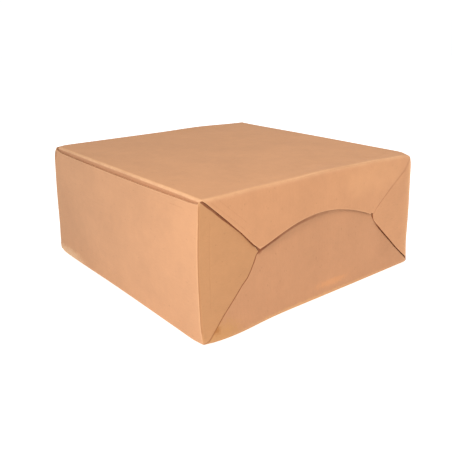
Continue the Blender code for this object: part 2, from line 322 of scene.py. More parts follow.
@dataclass
class Settling:
    """How the set-up carton bulges, dents and waves away from a perfect box.

    Attributes:
        carton: the perfect box's places.
    """

    carton: Carton = CARTON

    def dents(self) -> list[Dent]:
        """Every dent and bulge of the box.

        Returns:
            The dents. Each row below gives a centre, and its spread and push in millimetres.
        """
        end, side, top = self.carton.end_x, self.carton.side_y, self.carton.height
        rows = (
            ((end, -side, 0.62 * top), (18, 16, 42), (-0.3, -1.7, 0)),
            ((end, -side, 0.5 * top), (1.6, 1.6, 60), (0.68, -0.68, 0)),
            ((end, side, top), (7, 10, 6), (-0.5, -0.8, -2.2)),
            ((-end, -side, top), (7, 7, 5), (1.8, 1.2, -0.9)),
            ((-0.75 * end, -side, 0), (60, 14, 16), (0, -1.5, 0)),
            ((end, side, 0), (14, 20, 16), (0.6, 1.9, 0.6)),
            ((end, side, 0.42 * top), (14, 14, 36), (0.3, 1.2, 0)),
            ((end, 0, 0), (10, 90, 8), (0.7, 0, 0)),
            ((-end, -side, 0.6 * top), (24, 20, 50), (-1.0, -0.8, 0)),
            ((-end, 0, top), (14, 90, 12), (-0.5, 0, 0.8)),
            ((-end, 0.45 * side, top), (12, 36, 10), (-0.2, 0, 1.1)),
            ((-end, -side, 0), (9, 9, 8), (0.8, 0.7, 1.0)),
            ((end, -side + 27 * MM, 0), (8, 30, 9), (3.5, 0, 0)),
            ((end, -side, 0), (7, 8, 10), (-0.4, 0.9, 0.6)),
            ((end, 0.05 * side, top), (14, 65, 9), (-2.2, 0, 1.2)),
            ((end, -0.62 * side, top), (6, 16, 6), (-0.3, 0, 0.4)),
            ((end, -0.2 * side, top), (6, 12, 6), (0.3, 0, -0.3)),
            ((end, 0.55 * side, top), (6, 14, 6), (-0.3, 0, 0.3)),
            ((-0.1 * end, 0, top), (75, 75, 14), (0, 0, -0.9)),
            ((0, side, top), (70, 14, 14), (0, 0.3, 0.3)),
            ((0.1 * end, -side, 0.5 * top), (80, 14, 32), (0, -0.8, 0)),
            ((-0.1 * end, side, 0.5 * top), (80, 14, 32), (0, 0.8, 0)),
        )
        return [Dent(centre, metres(spread), metres(push)) for centre, spread, push in rows]

    def settle(self, points: np.ndarray) -> np.ndarray:
        """Moves points of the perfect box to the settled one.

        Args:
            points: places, one a row.

        Returns:
            The moved places.
        """
        moved = points.copy()
        for dent in self.dents():
            away = (points - np.array(dent.centre)) / np.array(dent.spread)
            moved += np.exp(-(away ** 2).sum(axis=1))[:, None] * np.array(dent.push)
        return moved


SETTLING = Settling()


def metres(sizes: Sizes) -> Sizes:
    """Sizes given in millimetres."""
    return tuple(size * MM for size in sizes)


def side_distance(places: np.ndarray, start: Vector, end: Vector) -> np.ndarray:
    """Distance from places to a straight run.

    Args:
        places: places in a plane, one a row.
        start: the run's start.
        end: the run's end.

    Returns:
        The distances.
    """
    begin, run = np.array(start), np.array(end - start)
    share = np.clip((places - begin) @ run / (run @ run), 0, 1)
    return np.linalg.norm(places - begin - share[:, None] * run, axis=1)


def left_normal(start: Vector, end: Vector) -> Vector:
    """Unit vector to the left of a run, which is into an anticlockwise outline."""
    along = (end - start).normalized()
    return Vector((-along.y, along.x))


def rounded(corners: list[Vector], radii: list[float], steps: int = 6) -> list[Vector]:
    """Rounds the corners of an outline that have a radius.

    Args:
        corners: the outline's corners.
        radii: a radius for each corner, or zero.
        steps: pieces of each arc.

    Returns:
        The outline with its arcs.
    """
    points = []
    for index, corner in enumerate(corners):
        if not radii[index]:
            points.append(corner)
            continue
        before = (corners[index - 1] - corner).normalized()
        after = (corners[(index + 1) % len(corners)] - corner).normalized()
        half = before.angle(after) / 2
        centre = corner + (before + after).normalized() * (radii[index] / math.sin(half))
        start = corner + before * (radii[index] / math.tan(half)) - centre
        end = corner + after * (radii[index] / math.tan(half)) - centre
        sweep = start.angle_signed(end)
        for step in range(steps + 1):
            points.append(centre + Matrix.Rotation(-sweep * step / steps, 2) @ start)
    return points


def in_mm(spots: Spots) -> list[Vector]:
    """Places given in millimetres."""
    return [Vector(spot) * MM for spot in spots]


def score_run(spots: Spots, dips: Sizes, widths: Sizes, crispness: int = 2) -> list[Score]:
    """Lines pressed from spot to spot, all in millimetres.

    Args:
        spots: the ends of the lines.
        dips: the depth of each line.
        widths: the half width of each line.
        crispness: how steep their sides are.

    Returns:
        The lines.
    """
    points = in_mm(spots)
    return [
        Score(start, end, dip * MM, width * MM, crispness)
        for start, end, dip, width in zip(points, points[1:], dips, widths)
    ]


def marks_of(marks: Marks) -> list[Score]:
    """Shallow lines from their ends, depths and half widths in millimetres."""
    return [Score(*in_mm((start, end)), dip * MM, width * MM) for start, end, dip, width in marks]


def swells_of(swells: Swells) -> list[Swell]:
    """Low bulges from their middles, spreads and heights in millimetres."""
    return [Swell(metres(centre), metres(spread), height * MM) for centre, spread, height in swells]


def outline_of(*pairs: Flat) -> list[Vector]:
    """An outline from the coordinates of its corners."""
    return [Vector(pair) for pair in pairs]


def rectangle(low_u: float, low_v: float, high_u: float, high_v: float) -> list[Vector]:
    """Corners of a rectangle, anticlockwise from its lower left."""
    return outline_of((low_u, low_v), (high_u, low_v), (high_u, high_v), (low_u, high_v))


def put(name: str, data: bpy.types.ID) -> bpy.types.Object:
    """Adds an object to the scene.

    Args:
        name: its name.
        data: its mesh, camera or light.

    Returns:
        The object.
    """
    made = bpy.data.objects.new(name, data)
    bpy.context.scene.collection.objects.link(made)
    return made


@dataclass
class Sheet:
    """One panel or flap of board, drawn flat with its outer face towards the viewer.

    Attributes:
        node: the node of the frame that it stands for.
        outline: corners in the sheet's plane, anticlockwise.
        folds: the sides of the outline that lie on a crease or butt line, by number.
        origin: where the plane's zero lies in the box.
        right: world direction of the plane's first axis.
        up: world direction of the plane's second axis.
        flutes: direction of the flutes in the plane.
        creases: the creases that bend the sheet.
        scores: lines pressed into the sheet.
        swells: low bulges of the sheet.
        depth: how far the outer face lies behind the plane.
        flattened: the cut sides that are pressed flat, by number.
        flattened_face: the finish of those sides.
    """

    node: str
    outline: list[Vector]
    folds: set[int]
    origin: Vector
    right: Vector
    up: Vector
    flutes: Vector
    creases: list[Crease] = field(default_factory=list)
    scores: list[Score] = field(default_factory=list)
    swells: list[Swell] = field(default_factory=list)
    depth: float = 0.0
    flattened: set[int] = field(default_factory=set)
    flattened_face: Face = Face.CORE

    def wall(self, index: int) -> Wall:
        """The kind of a side of the outline."""
        if index in self.folds:
            return Wall.FOLD
        return Wall.PRESSED if index in self.flattened else Wall.CUT

    def sides(self) -> list[tuple[Vector, Vector, Wall]]:
        """Start, end and kind of each side of the outline."""
        ends = self.outline[1:] + self.outline[:1]
        return [(start, end, self.wall(index)) for index, (start, end) in enumerate(zip(self.outline, ends))]

    def grid_lines(self) -> list[tuple[Vector, Vector]]:
        """Lines that cut the flat sheet into a grid, finer near creases.

        Returns:
            A point and a normal for each line.
        """
        lines = []
        for axis, normal in ((0, Vector((1, 0))), (1, Vector((0, 1)))):
            low = min(corner[axis] for corner in self.outline)
            high = max(corner[axis] for corner in self.outline)
            for step in range(math.ceil(low / BOARD.grid), math.floor(high / BOARD.grid) + 1):
                lines.append((normal * step * BOARD.grid, normal))
        for crease in self.creases:
            spots = [crease.spot + crease.inward * crease.reach * share for share in CREASE_CUTS]
            lines += [(spot, crease.inward) for spot in spots]
        return lines

    @staticmethod
    def cut(flat: bmesh.types.BMesh, pieces: list, lines: list[tuple[Vector, Vector]]) -> None:
        """Cuts some of a flat sheet's pieces along lines.

        Args:
            flat: the flat sheet.
            pieces: the vertices, edges and faces to cut.
            lines: a point and a normal for each line.
        """
        for spot, normal in lines:
            pieces = bmesh.ops.bisect_plane(
                flat,
                geom=pieces,
                dist=CUT_TOLERANCE,
                plane_co=(spot.x, spot.y, 0),
                plane_no=(normal.x, normal.y, 0),
            )["geom"]

    def flat_grid(self) -> bmesh.types.BMesh:
        """Cuts the flat outline along every grid line, and finely beside pressed lines.

        Returns:
            The flat sheet.
        """
        flat = bmesh.new()
        flat.faces.new([flat.verts.new((corner.x, corner.y, 0)) for corner in self.outline])
        self.cut(flat, flat.verts[:] + flat.edges[:] + flat.faces[:], self.grid_lines())
        for score in self.scores:
            faces = flat.faces[:]
            middles = np.array([face.calc_center_median()[:2] for face in faces])
            near = side_distance(middles, score.start, score.end) < score.cut_reach
            chosen = [face for face, is_near in zip(faces, near) if is_near]
            edges = list({edge for face in chosen for edge in face.edges})
            verts = list({vert for face in chosen for vert in face.verts})
            self.cut(flat, verts + edges + chosen, score.cut_lines())
        return flat

    def relief(self, places: np.ndarray) -> np.ndarray:
        """How far pressed lines and bulges move each place in from the sheet's plane.

        Args:
            places: places in the plane, one a row.

        Returns:
            The distances.
        """
        inward = np.zeros(len(places))
        for score in self.scores:
            inward = np.maximum(inward, score.sink(places))
        for swell in self.swells:
            inward -= swell.rise(places)
        return inward

    def bend(self, places: np.ndarray, depth: np.ndarray) -> tuple[np.ndarray, np.ndarray]:
        """Bends flat places round the creases.

        Args:
            places: places in the plane, one a row.
            depth: depth of each below the outer face.

        Returns:
            The bent places in the plane, and their depths.
        """
        turns = []
        for crease in self.creases:
            share = 1 - crease.away(places) / crease.reach
            turns.append(np.clip(share, 0, 2) * (math.pi - crease.angle) / 2)
        level = np.ones(len(places))
        for turn in turns:
            level *= np.cos(turn)
        tilts = []
        for index, turn in enumerate(turns):
            tilt = np.sin(turn)
            for other, other_turn in enumerate(turns):
                if other != index:
                    tilt = tilt * np.cos(other_turn)
            tilts.append(tilt)
        length = np.sqrt(level ** 2 + sum((tilt ** 2 for tilt in tilts), np.zeros(len(places))))
        radius = BOARD.radius - depth
        moved = places.copy()
        for crease, turn, tilt in zip(self.creases, turns, tilts):
            new_away = crease.reach - radius * tilt / length
            shift = np.where(turn > 0, new_away - crease.away(places), 0)
            moved += shift[:, None] * np.array(crease.inward)
        return moved, BOARD.radius - radius * level / length

    def place(self, places: np.ndarray, depth: np.ndarray) -> np.ndarray:
        """Bends flat places round the creases and settles them in the box.

        Args:
            places: places in the plane, one a row.
            depth: depth of each below the outer face.

        Returns:
            Their world positions.
        """
        moved, sunk = self.bend(places, depth)
        sunk = sunk + self.depth + self.relief(places)
        outward = np.array(self.right.cross(self.up))
        world = np.array(self.origin) + moved[:, :1] * np.array(self.right) + moved[:, 1:] * np.array(self.up)
        return SETTLING.settle(world - sunk[:, None] * outward)

    def to_cut(self, places: np.ndarray) -> np.ndarray:
        """Distance from each place to the nearest cut side.

        Args:
            places: places in the plane, one a row.

        Returns:
            The distances, or one metre where there is no cut side.
        """
        best = np.full(len(places), 1.0)
        for start, end, wall in self.sides():
            if wall is not Wall.FOLD:
                best = np.minimum(best, side_distance(places, start, end))
        return best

    def rubbed(self, places: np.ndarray) -> np.ndarray:
        """How pale each place is along the creases: rubbed by handling, and painted highlight of their lit
        roundings.

        Args:
            places: places in the plane, one a row.

        Returns:
            The paleness, from 0 to 1.
        """
        most = np.zeros(len(places))
        for crease in self.creases:
            fade = np.exp(-(crease.away(places) / crease.wear_width) ** crease.wear_crispness)
            most = np.maximum(most, crease.wear * fade)
        return most

    def pressed(self, places: np.ndarray) -> np.ndarray:
        """How deep in a pressed line each place lies, which sets how dark it is: pressed marks and the
        painted shade of gaps, folds and seams.

        Args:
            places: places in the plane, one a row.

        Returns:
            The shares of the depth at which a line is fully dark, from 0 to 1.
        """
        most = np.zeros(len(places))
        for score in self.scores:
            most = np.maximum(most, score.sink(places) / BOARD.line_depth)
        return np.clip(most, 0, 1)


class SheetMaker:
    """Turns a flat sheet into a closed, bent board with liners and a fluted core."""

    # Least squared length of the mean of two normals, so that a sharp corner doesn't step in too far.
    LEAST_MEAN = 0.4
    # Shortest run of cut edge that shows the medium, in recesses.
    LEAST_RUN = 3

    def __init__(self, sheet: Sheet, pattern_shift: float) -> None:
        """Prepares the flat grid and reads its places.

        Args:
            sheet: the sheet to make.
            pattern_shift: moves the paper's pattern, so that no two sheets share it.
        """
        self.sheet = sheet
        self.pattern_shift = pattern_shift
        self.flat = sheet.flat_grid()
        self.flat.verts.index_update()
        self.places = np.array([(vert.co.x, vert.co.y) for vert in self.flat.verts])
        self.mesh = bmesh.new()
        self.plan = self.mesh.verts.layers.float_vector.new("plan")

    def layer(self, places: np.ndarray, depth: np.ndarray | float) -> list[bmesh.types.BMVert]:
        """Adds a vertex for each place at a depth.

        Args:
            places: places in the plane.
            depth: depth below the outer face.

        Returns:
            The new vertices.
        """
        depths = np.zeros(len(places)) + depth
        verts = []
        for point, place in zip(self.sheet.place(places, depths), places):
            vert = self.mesh.verts.new(point)
            vert[self.plan] = (place[0], place[1], 0)
            verts.append(vert)
        return verts

    def add_face(self, verts: list[bmesh.types.BMVert], face: Face) -> None:
        """Adds a smooth face.

        Args:
            verts: its corners.
            face: its material slot.
        """
        made = self.mesh.faces.new(verts)
        made.material_index = face.value
        made.smooth = True

    def rim(self) -> list[tuple[int, int, int]]:
        """Finds the edges of the flat sheet's rim, with the sheet on their left.

        Returns:
            Two vertex numbers and the number of the outline's side for each edge.
        """
        sides = self.sheet.sides()
        found = []
        for edge in self.flat.edges:
            if len(edge.link_faces) != 1:
                continue
            loop = edge.link_loops[0]
            start, end = loop.vert, loop.link_loop_next.vert
            middle = (start.co + end.co) / 2
            place = np.array([(middle.x, middle.y)])
            gaps = [side_distance(place, first, last)[0] for first, last, _ in sides]
            found.append((start.index, end.index, int(np.argmin(gaps))))
        return found

    def recess_steps(self, rim: list[tuple[int, int, int]]) -> dict[int, np.ndarray]:
        """How far each rim vertex steps in to the recessed core.

        Args:
            rim: the rim's edges.

        Returns:
            The step in the plane for each vertex number.
        """
        sides = self.sheet.sides()
        normals: dict[int, list[np.ndarray]] = {}
        held: set[int] = set()
        for start, end, number in rim:
            first, last, wall = sides[number]
            for index in (start, end):
                normals.setdefault(index, []).append(np.array(left_normal(first, last)))
                if wall is not Wall.CUT:
                    held.add(index)
        steps = {}
        for index, found in normals.items():
            mean = sum(found) / len(found)
            step = mean * BOARD.recess / max(mean @ mean, self.LEAST_MEAN)
            steps[index] = np.zeros(2) if index in held else step
        return steps

    def close_rim(self, outer: list[bmesh.types.BMVert], inner: list[bmesh.types.BMVert]) -> None:
        """Walls the rim: a groove between the liners on cut edges and a plain wall elsewhere.

        Args:
            outer: the outer face's vertices.
            inner: the inner face's vertices.
        """
        rim = self.rim()
        steps = self.recess_steps(rim)
        numbers = sorted(steps)
        at = self.places[numbers]
        inside = at + np.array([steps[number] for number in numbers])
        low, high = BOARD.liner, BOARD.thickness - BOARD.liner
        rings = [(at, low), (inside, low), (inside, high), (at, high)]
        chain = [dict(enumerate(outer))]
        chain += [dict(zip(numbers, self.layer(places, depth))) for places, depth in rings]
        chain.append(dict(enumerate(inner)))
        sides = self.sheet.sides()
        faces = {
            Wall.CUT: (Face.CORE, Face.INNER, Face.CORE, Face.INNER, Face.CORE),
            Wall.PRESSED: (self.sheet.flattened_face,) * 5,
            Wall.FOLD: (Face.OUTER, Face.INNER, Face.CORE, Face.INNER, Face.INNER),
        }
        for start, end, number in rim:
            for upper, lower, face in zip(chain, chain[1:], faces[sides[number][2]]):
                self.add_face([upper[end], upper[start], lower[start], lower[end]], face)

    def add_medium(self) -> None:
        """Adds the waved medium as a ribbon in each run of cut edge."""
        for start, end, wall in self.sheet.sides():
            length = (end - start).length
            if wall is not Wall.CUT or length < self.LEAST_RUN * BOARD.recess:
                continue
            count = math.ceil(length / BOARD.ribbon_step)
            share = np.linspace(BOARD.recess / length, 1 - BOARD.recess / length, count)[:, None]
            run = np.array(start) + share * np.array(end - start)
            self.add_ribbon(run, np.array(left_normal(start, end)))

    def add_ribbon(self, run: np.ndarray, inward: np.ndarray) -> None:
        """Adds one closed ribbon of medium along a cut edge.

        Args:
            run: places along the edge.
            inward: unit vector into the sheet.
        """
        across = np.array((-self.sheet.flutes.y, self.sheet.flutes.x))
        swing = BOARD.thickness / 2 - BOARD.liner - BOARD.medium / 2
        half, near, far = BOARD.medium / 2, BOARD.ribbon_setback, BOARD.recess
        rings = []
        for step, side in ((near, -half), (far, -half), (far, half), (near, half)):
            places = run + inward * step
            wave = swing * np.sin(2 * math.pi * (places @ across) / BOARD.pitch)
            rings.append(self.layer(places, BOARD.thickness / 2 + wave + side))
        for first, second in zip(rings, rings[1:] + rings[:1]):
            for quad in zip(first, first[1:], second[1:], second):
                self.add_face(list(quad), Face.CORE)
        self.add_face([ring[0] for ring in rings], Face.CORE)
        self.add_face([ring[-1] for ring in rings], Face.CORE)

    def make(self, materials: list[bpy.types.Material]) -> bpy.types.Object:
        """Builds the board.

        Args:
            materials: the finishes of the outer face, the inner face and the core.

        Returns:
            The new object, with its plan and its wear stored on it.
        """
        outer = self.layer(self.places, 0)
        inner = self.layer(self.places, BOARD.thickness)
        for face in self.flat.faces:
            numbers = [vert.index for vert in face.verts]
            self.add_face([outer[number] for number in numbers], Face.OUTER)
            self.add_face([inner[number] for number in reversed(numbers)], Face.INNER)
        self.close_rim(outer, inner)
        self.add_medium()
        bmesh.ops.remove_doubles(self.mesh, verts=self.mesh.verts[:], dist=WELD_DISTANCE)
        bmesh.ops.recalc_face_normals(self.mesh, faces=self.mesh.faces[:])
        plan = np.array([vert[self.plan][:2] for vert in self.mesh.verts])
        self.mesh.verts.layers.float_vector.remove(self.plan)
        data = bpy.data.meshes.new(self.sheet.node + "_board")
        self.mesh.to_mesh(data)
        self.mesh.free()
        self.flat.free()
        self.store(data, plan)
        for material in materials:
            data.materials.append(material)
        return put(data.name, data)

    def store(self, data: bpy.types.Mesh, plan: np.ndarray) -> None:
        """Stores each vertex's place in the plan, its distance to a cut edge and its wear.

        Args:
            data: the new mesh.
            plan: place of each vertex in the sheet's plane.
        """
        for name in ("to_cut", "rubbed", "pressed"):
            attribute = data.attributes.new(name, "FLOAT", "POINT")
            attribute.data.foreach_set("value", getattr(self.sheet, name)(plan).astype(np.float32))
        along = np.array(self.sheet.flutes)
        across = np.array((-along[1], along[0]))
        turned = np.stack([plan @ along, plan @ across], axis=1) + self.pattern_shift
        layer = data.uv_layers.new(name="board_plan")
        corners = np.zeros(len(data.loops), dtype=np.int32)
        data.loops.foreach_get("vertex_index", corners)
        layer.data.foreach_set("uv", turned[corners].astype(np.float32).ravel())
        data.set_sharp_from_angle(angle=SHARP_ANGLE)


class NodeBench:
    """Makes and joins shader nodes in one node tree."""

    def __init__(self, tree: bpy.types.NodeTree) -> None:
        """Keeps the tree that nodes are added to."""
        self.tree = tree

    def node(self, kind: str, **settings: object) -> bpy.types.Node:
        """Adds a node.

        Args:
            kind: its type.
            settings: its properties.

        Returns:
            The node.
        """
        made = self.tree.nodes.new(kind)
        for name, value in settings.items():
            setattr(made, name, value)
        return made

    def feed(self, socket: Socket, value: object) -> None:
        """Links a socket into an input, or sets the input's own value.

        Args:
            socket: the input.
            value: a node's output, or a value.
        """
        if isinstance(value, Socket):
            self.tree.links.new(value, socket)
        else:
            socket.default_value = value

    def math(self, operation: str, first: object, second: object = 0.0, clamp: bool = False) -> Socket:
        """Adds a math node.

        Args:
            operation: what it works out.
            first: its first value.
            second: its second value.
            clamp: whether its result stays between 0 and 1.

        Returns:
            Its output.
        """
        made = self.node("ShaderNodeMath", operation=operation, use_clamp=clamp)
        self.feed(made.inputs[0], first)
        self.feed(made.inputs[1], second)
        return made.outputs[0]

    def vector(self, operation: str, first: object, second: object) -> bpy.types.Node:
        """Adds a vector math node.

        Args:
            operation: what it works out.
            first: its first vector.
            second: its second vector.

        Returns:
            The node.
        """
        made = self.node("ShaderNodeVectorMath", operation=operation)
        self.feed(made.inputs[0], first)
        self.feed(made.inputs[1], second)
        return made

    def ramp(
        self, value: object, low: float, high: float, to_low: float = 0.0, to_high: float = 1.0
    ) -> Socket:
        """Adds a smooth, clamped change of range.

        Args:
            value: what it changes.
            low: the value that becomes to_low.
            high: the value that becomes to_high.
            to_low: its result at low.
            to_high: its result at high.

        Returns:
            Its output.
        """
        made = self.node("ShaderNodeMapRange", interpolation_type="SMOOTHSTEP")
        names = ("Value", "From Min", "From Max", "To Min", "To Max")
        for name, given in zip(names, (value, low, high, to_low, to_high)):
            self.feed(made.inputs[name], given)
        return made.outputs["Result"]

    def noise(self, place: Socket, scale: float, detail: float = 3.0, roughness: float = 0.55) -> Socket:
        """Adds a noise texture.

        Args:
            place: where it is read.
            scale: its waves in a metre.
            detail: its number of finer layers.
            roughness: how strong those are.

        Returns:
            Its value.
        """
        made = self.node("ShaderNodeTexNoise")
        self.feed(made.inputs["Vector"], place)
        made.inputs["Scale"].default_value = scale
        made.inputs["Detail"].default_value = detail
        made.inputs["Roughness"].default_value = roughness
        return made.outputs["Fac"]

    def mix(self, share: object, first: object, second: object, how: str = "MIX") -> Socket:
        """Adds a colour mix.

        Args:
            share: how much of the second colour shows.
            first: the first colour.
            second: the second colour.
            how: the kind of mix.

        Returns:
            Its output.
        """
        made = self.node("ShaderNodeMix", data_type="RGBA", blend_type=how)
        for number, given in zip(MIX_INPUTS, (share, first, second)):
            self.feed(made.inputs[number], given)
        return made.outputs[MIX_OUTPUT]

    def grey(self, value: Socket) -> Socket:
        """Turns a value into a grey colour.

        Args:
            value: the value.

        Returns:
            The colour.
        """
        made = self.node("ShaderNodeCombineColor")
        for name in ("Red", "Green", "Blue"):
            self.feed(made.inputs[name], value)
        return made.outputs[0]


class ShaderGroups:
    """The node groups that the finishes share."""

    # Scales of the noises, in waves a metre.
    CLOUDS = 26.0
    BLOTCHES = 130.0
    STREAKS = 1500.0
    SPECKS = 420.0
    SPECK_GROUPS = 210.0
    FIBRES = 3200.0
    RIB_DRIFT = 18.0
    RIB_GROUPS = 34.0
    RAGGED = 240.0
    PATCHY = 40.0
    # How streaks, specks and fibres are stretched along the flutes.
    STREAK_STRETCH = (0.22, 1, 1)
    SPECK_STRETCH = (0.5, 1, 1)
    FIBRE_STRETCH = (0.35, 1, 1)

    def __init__(self) -> None:
        """Builds every group once."""
        self.paper = self.paper_fibre()
        self.ribs = self.flute_ribs()
        self.wear = self.crease_wear()
        self.patch = self.rubbed_patch()

    @staticmethod
    def start(
        name: str, inputs: dict[str, float | tuple], outputs: tuple[str, ...]
    ) -> tuple[NodeBench, bpy.types.Node, bpy.types.Node]:
        """Starts a group with its named sockets.

        Args:
            name: the group's name.
            inputs: each input's name and usual value; a tuple makes a vector socket.
            outputs: names of the value outputs.

        Returns:
            A bench on the group, its input node and its output node.
        """
        tree = bpy.data.node_groups.new(name, "ShaderNodeTree")
        for label, value in inputs.items():
            kind = "NodeSocketVector" if isinstance(value, tuple) else "NodeSocketFloat"
            socket = tree.interface.new_socket(label, in_out="INPUT", socket_type=kind)
            socket.default_value = value
        for label in outputs:
            tree.interface.new_socket(label, in_out="OUTPUT", socket_type="NodeSocketFloat")
        bench = NodeBench(tree)
        return bench, bench.node("NodeGroupInput"), bench.node("NodeGroupOutput")

    @staticmethod
    def plan_place(bench: NodeBench, stretch: Sizes = (1, 1, 1)) -> Socket:
        """The place in the board's plan, in metres along and across the flutes, stretched."""
        plan = bench.node("ShaderNodeUVMap", uv_map="board_plan").outputs["UV"]
        return bench.vector("MULTIPLY", plan, stretch).outputs[0]

    def paper_fibre(self) -> bpy.types.NodeTree:
        """Makes the cloudy tone, fibre streaks, dark specks and fibre relief of kraft liner.

        Returns:
            The group.
        """
        outputs = ("Tone", "Streaks", "Specks", "Relief")
        bench, _, out = self.start("paper_fibre", {}, outputs)
        plan = self.plan_place(bench)
        cloud = bench.noise(plan, self.CLOUDS, 4.0)
        blotch = bench.noise(plan, self.BLOTCHES, 3.0)
        tone = bench.math("ADD", bench.math("MULTIPLY", cloud, 1.3), bench.math("MULTIPLY", blotch, 0.7))
        bench.feed(out.inputs["Tone"], bench.math("SUBTRACT", tone, 1.0))
        streaks = bench.noise(self.plan_place(bench, self.STREAK_STRETCH), self.STREAKS, 3.0, 0.65)
        bench.feed(out.inputs["Streaks"], bench.math("SUBTRACT", streaks, 0.5))
        cells = bench.node("ShaderNodeTexVoronoi", feature="F1")
        bench.feed(cells.inputs["Vector"], self.plan_place(bench, self.SPECK_STRETCH))
        cells.inputs["Scale"].default_value = self.SPECKS
        picked = bench.ramp(bench.noise(plan, self.SPECK_GROUPS, 1.0), 0.56, 0.66)
        spots = bench.ramp(cells.outputs["Distance"], 0.10, 0.28, 1.0, 0.0)
        bench.feed(out.inputs["Specks"], bench.math("MULTIPLY", spots, picked))
        fine = bench.noise(self.plan_place(bench, self.FIBRE_STRETCH), self.FIBRES, 2.0, 0.6)
        bench.feed(out.inputs["Relief"], bench.math("ADD", bench.math("MULTIPLY", streaks, 0.6), fine))
        return bench.tree

    def flute_ribs(self) -> bpy.types.NodeTree:
        """Makes faint ribs, where the liner sinks between the flutes.

        Returns:
            The group.
        """
        bench, given, out = self.start("flute_ribs", {"Pitch": BOARD.pitch}, ("Ribs",))
        plan = self.plan_place(bench)
        parts = bench.node("ShaderNodeSeparateXYZ")
        bench.feed(parts.inputs[0], plan)
        drift = bench.math("MULTIPLY", bench.noise(plan, self.RIB_DRIFT, 1.0), 0.9)
        turns = bench.math("ADD", bench.math("DIVIDE", parts.outputs["Y"], given.outputs["Pitch"]), drift)
        wave = bench.math("SINE", bench.math("MULTIPLY", turns, 2 * math.pi))
        strength = bench.ramp(bench.noise(plan, self.RIB_GROUPS, 2.0), 0.35, 0.7, 0.25, 1.0)
        bench.feed(out.inputs["Ribs"], bench.math("MULTIPLY", wave, strength))
        return bench.tree

    def crease_wear(self) -> bpy.types.NodeTree:
        """Makes masks of creases rubbed pale with painted highlights, of frayed cut edges and of pressed
        lines darkened as marks and painted shade.

        Returns:
            The group.
        """
        bench, given, out = self.start("crease_wear", {"Cut width": 1.0 * MM}, ("Fold", "Cut", "Line"))
        ragged = bench.noise(self.plan_place(bench), self.RAGGED, 4.0, 0.7)
        patchy = bench.ramp(bench.noise(self.plan_place(bench), self.PATCHY, 2.0), 0.3, 0.7, 0.6, 1.0)
        rubbed = bench.node("ShaderNodeAttribute", attribute_name="rubbed").outputs["Fac"]
        soft = bench.math("MULTIPLY", rubbed, bench.ramp(ragged, 0.3, 0.7, 0.75, 1.15))
        bench.feed(out.inputs["Fold"], bench.math("MULTIPLY", soft, patchy, True))
        away = bench.node("ShaderNodeAttribute", attribute_name="to_cut").outputs["Fac"]
        share = bench.math("DIVIDE", away, given.outputs["Cut width"])
        share = bench.math("ADD", share, bench.math("MULTIPLY", ragged, 0.9))
        bench.feed(out.inputs["Cut"], bench.math("MULTIPLY", bench.ramp(share, 0.35, 1.45, 1.0, 0.0), patchy))
        pressed = bench.node("ShaderNodeAttribute", attribute_name="pressed").outputs["Fac"]
        broken = bench.ramp(ragged, 0.25, 0.6, 0.75, 1.0)
        bench.feed(out.inputs["Line"], bench.math("MULTIPLY", bench.ramp(pressed, 0.15, 0.9), broken))
        return bench.tree

    def rubbed_patch(self) -> bpy.types.NodeTree:
        """Makes a mask of one rubbed or smudged patch at a place on the box.

        Returns:
            The group.
        """
        inputs = {"Centre": (0, 0, 0), "Spread": (0.01, 0.01, 0.01), "Grain": 300.0}
        bench, given, out = self.start("rubbed_patch", inputs, ("Mask",))
        place = bench.node("ShaderNodeTexCoord").outputs["Object"]
        away = bench.vector("SUBTRACT", place, given.outputs["Centre"]).outputs[0]
        scaled = bench.vector("DIVIDE", away, given.outputs["Spread"]).outputs[0]
        length = bench.node("ShaderNodeVectorMath", operation="LENGTH")
        bench.feed(length.inputs[0], scaled)
        grain = bench.node("ShaderNodeTexNoise")
        bench.feed(grain.inputs["Vector"], place)
        bench.feed(grain.inputs["Scale"], given.outputs["Grain"])
        grain.inputs["Detail"].default_value = 4.0
        ragged = bench.math("ADD", length.outputs["Value"], grain.outputs["Fac"])
        bench.feed(out.inputs["Mask"], bench.ramp(ragged, 0.75, 1.5, 1.0, 0.0))
        return bench.tree


@dataclass(frozen=True)
class Patch:
    """A rubbed or smudged place on the board.

    Attributes:
        centre: its middle, in metres.
        spread: its size along each axis, in metres.
        colour: what the board turns to there.
        share: how much of that colour shows.
        grain: scale of its ragged edge.
    """

    centre: Place
    spread: Place
    colour: Colour
    share: float
    grain: float


def end_patch(spot: Flat, spread: Flat, colour: Colour, share: float, grain: float) -> Patch:
    """A patch on the lock end, placed in millimetres from its front bottom corner."""
    centre = (CARTON.end_x, -CARTON.side_y + spot[0] * MM, spot[1] * MM)
    return Patch(centre, (PATCH_DEPTH, *metres(spread)), colour, share, grain)


def front_patch(spot: Flat, spread: Flat, colour: Colour, share: float, grain: float) -> Patch:
    """A patch on the front panel, placed in millimetres from the middle of its foot."""
    centre = (spot[0] * MM, -CARTON.side_y, spot[1] * MM)
    return Patch(centre, (spread[0] * MM, PATCH_DEPTH, spread[1] * MM), colour, share, grain)


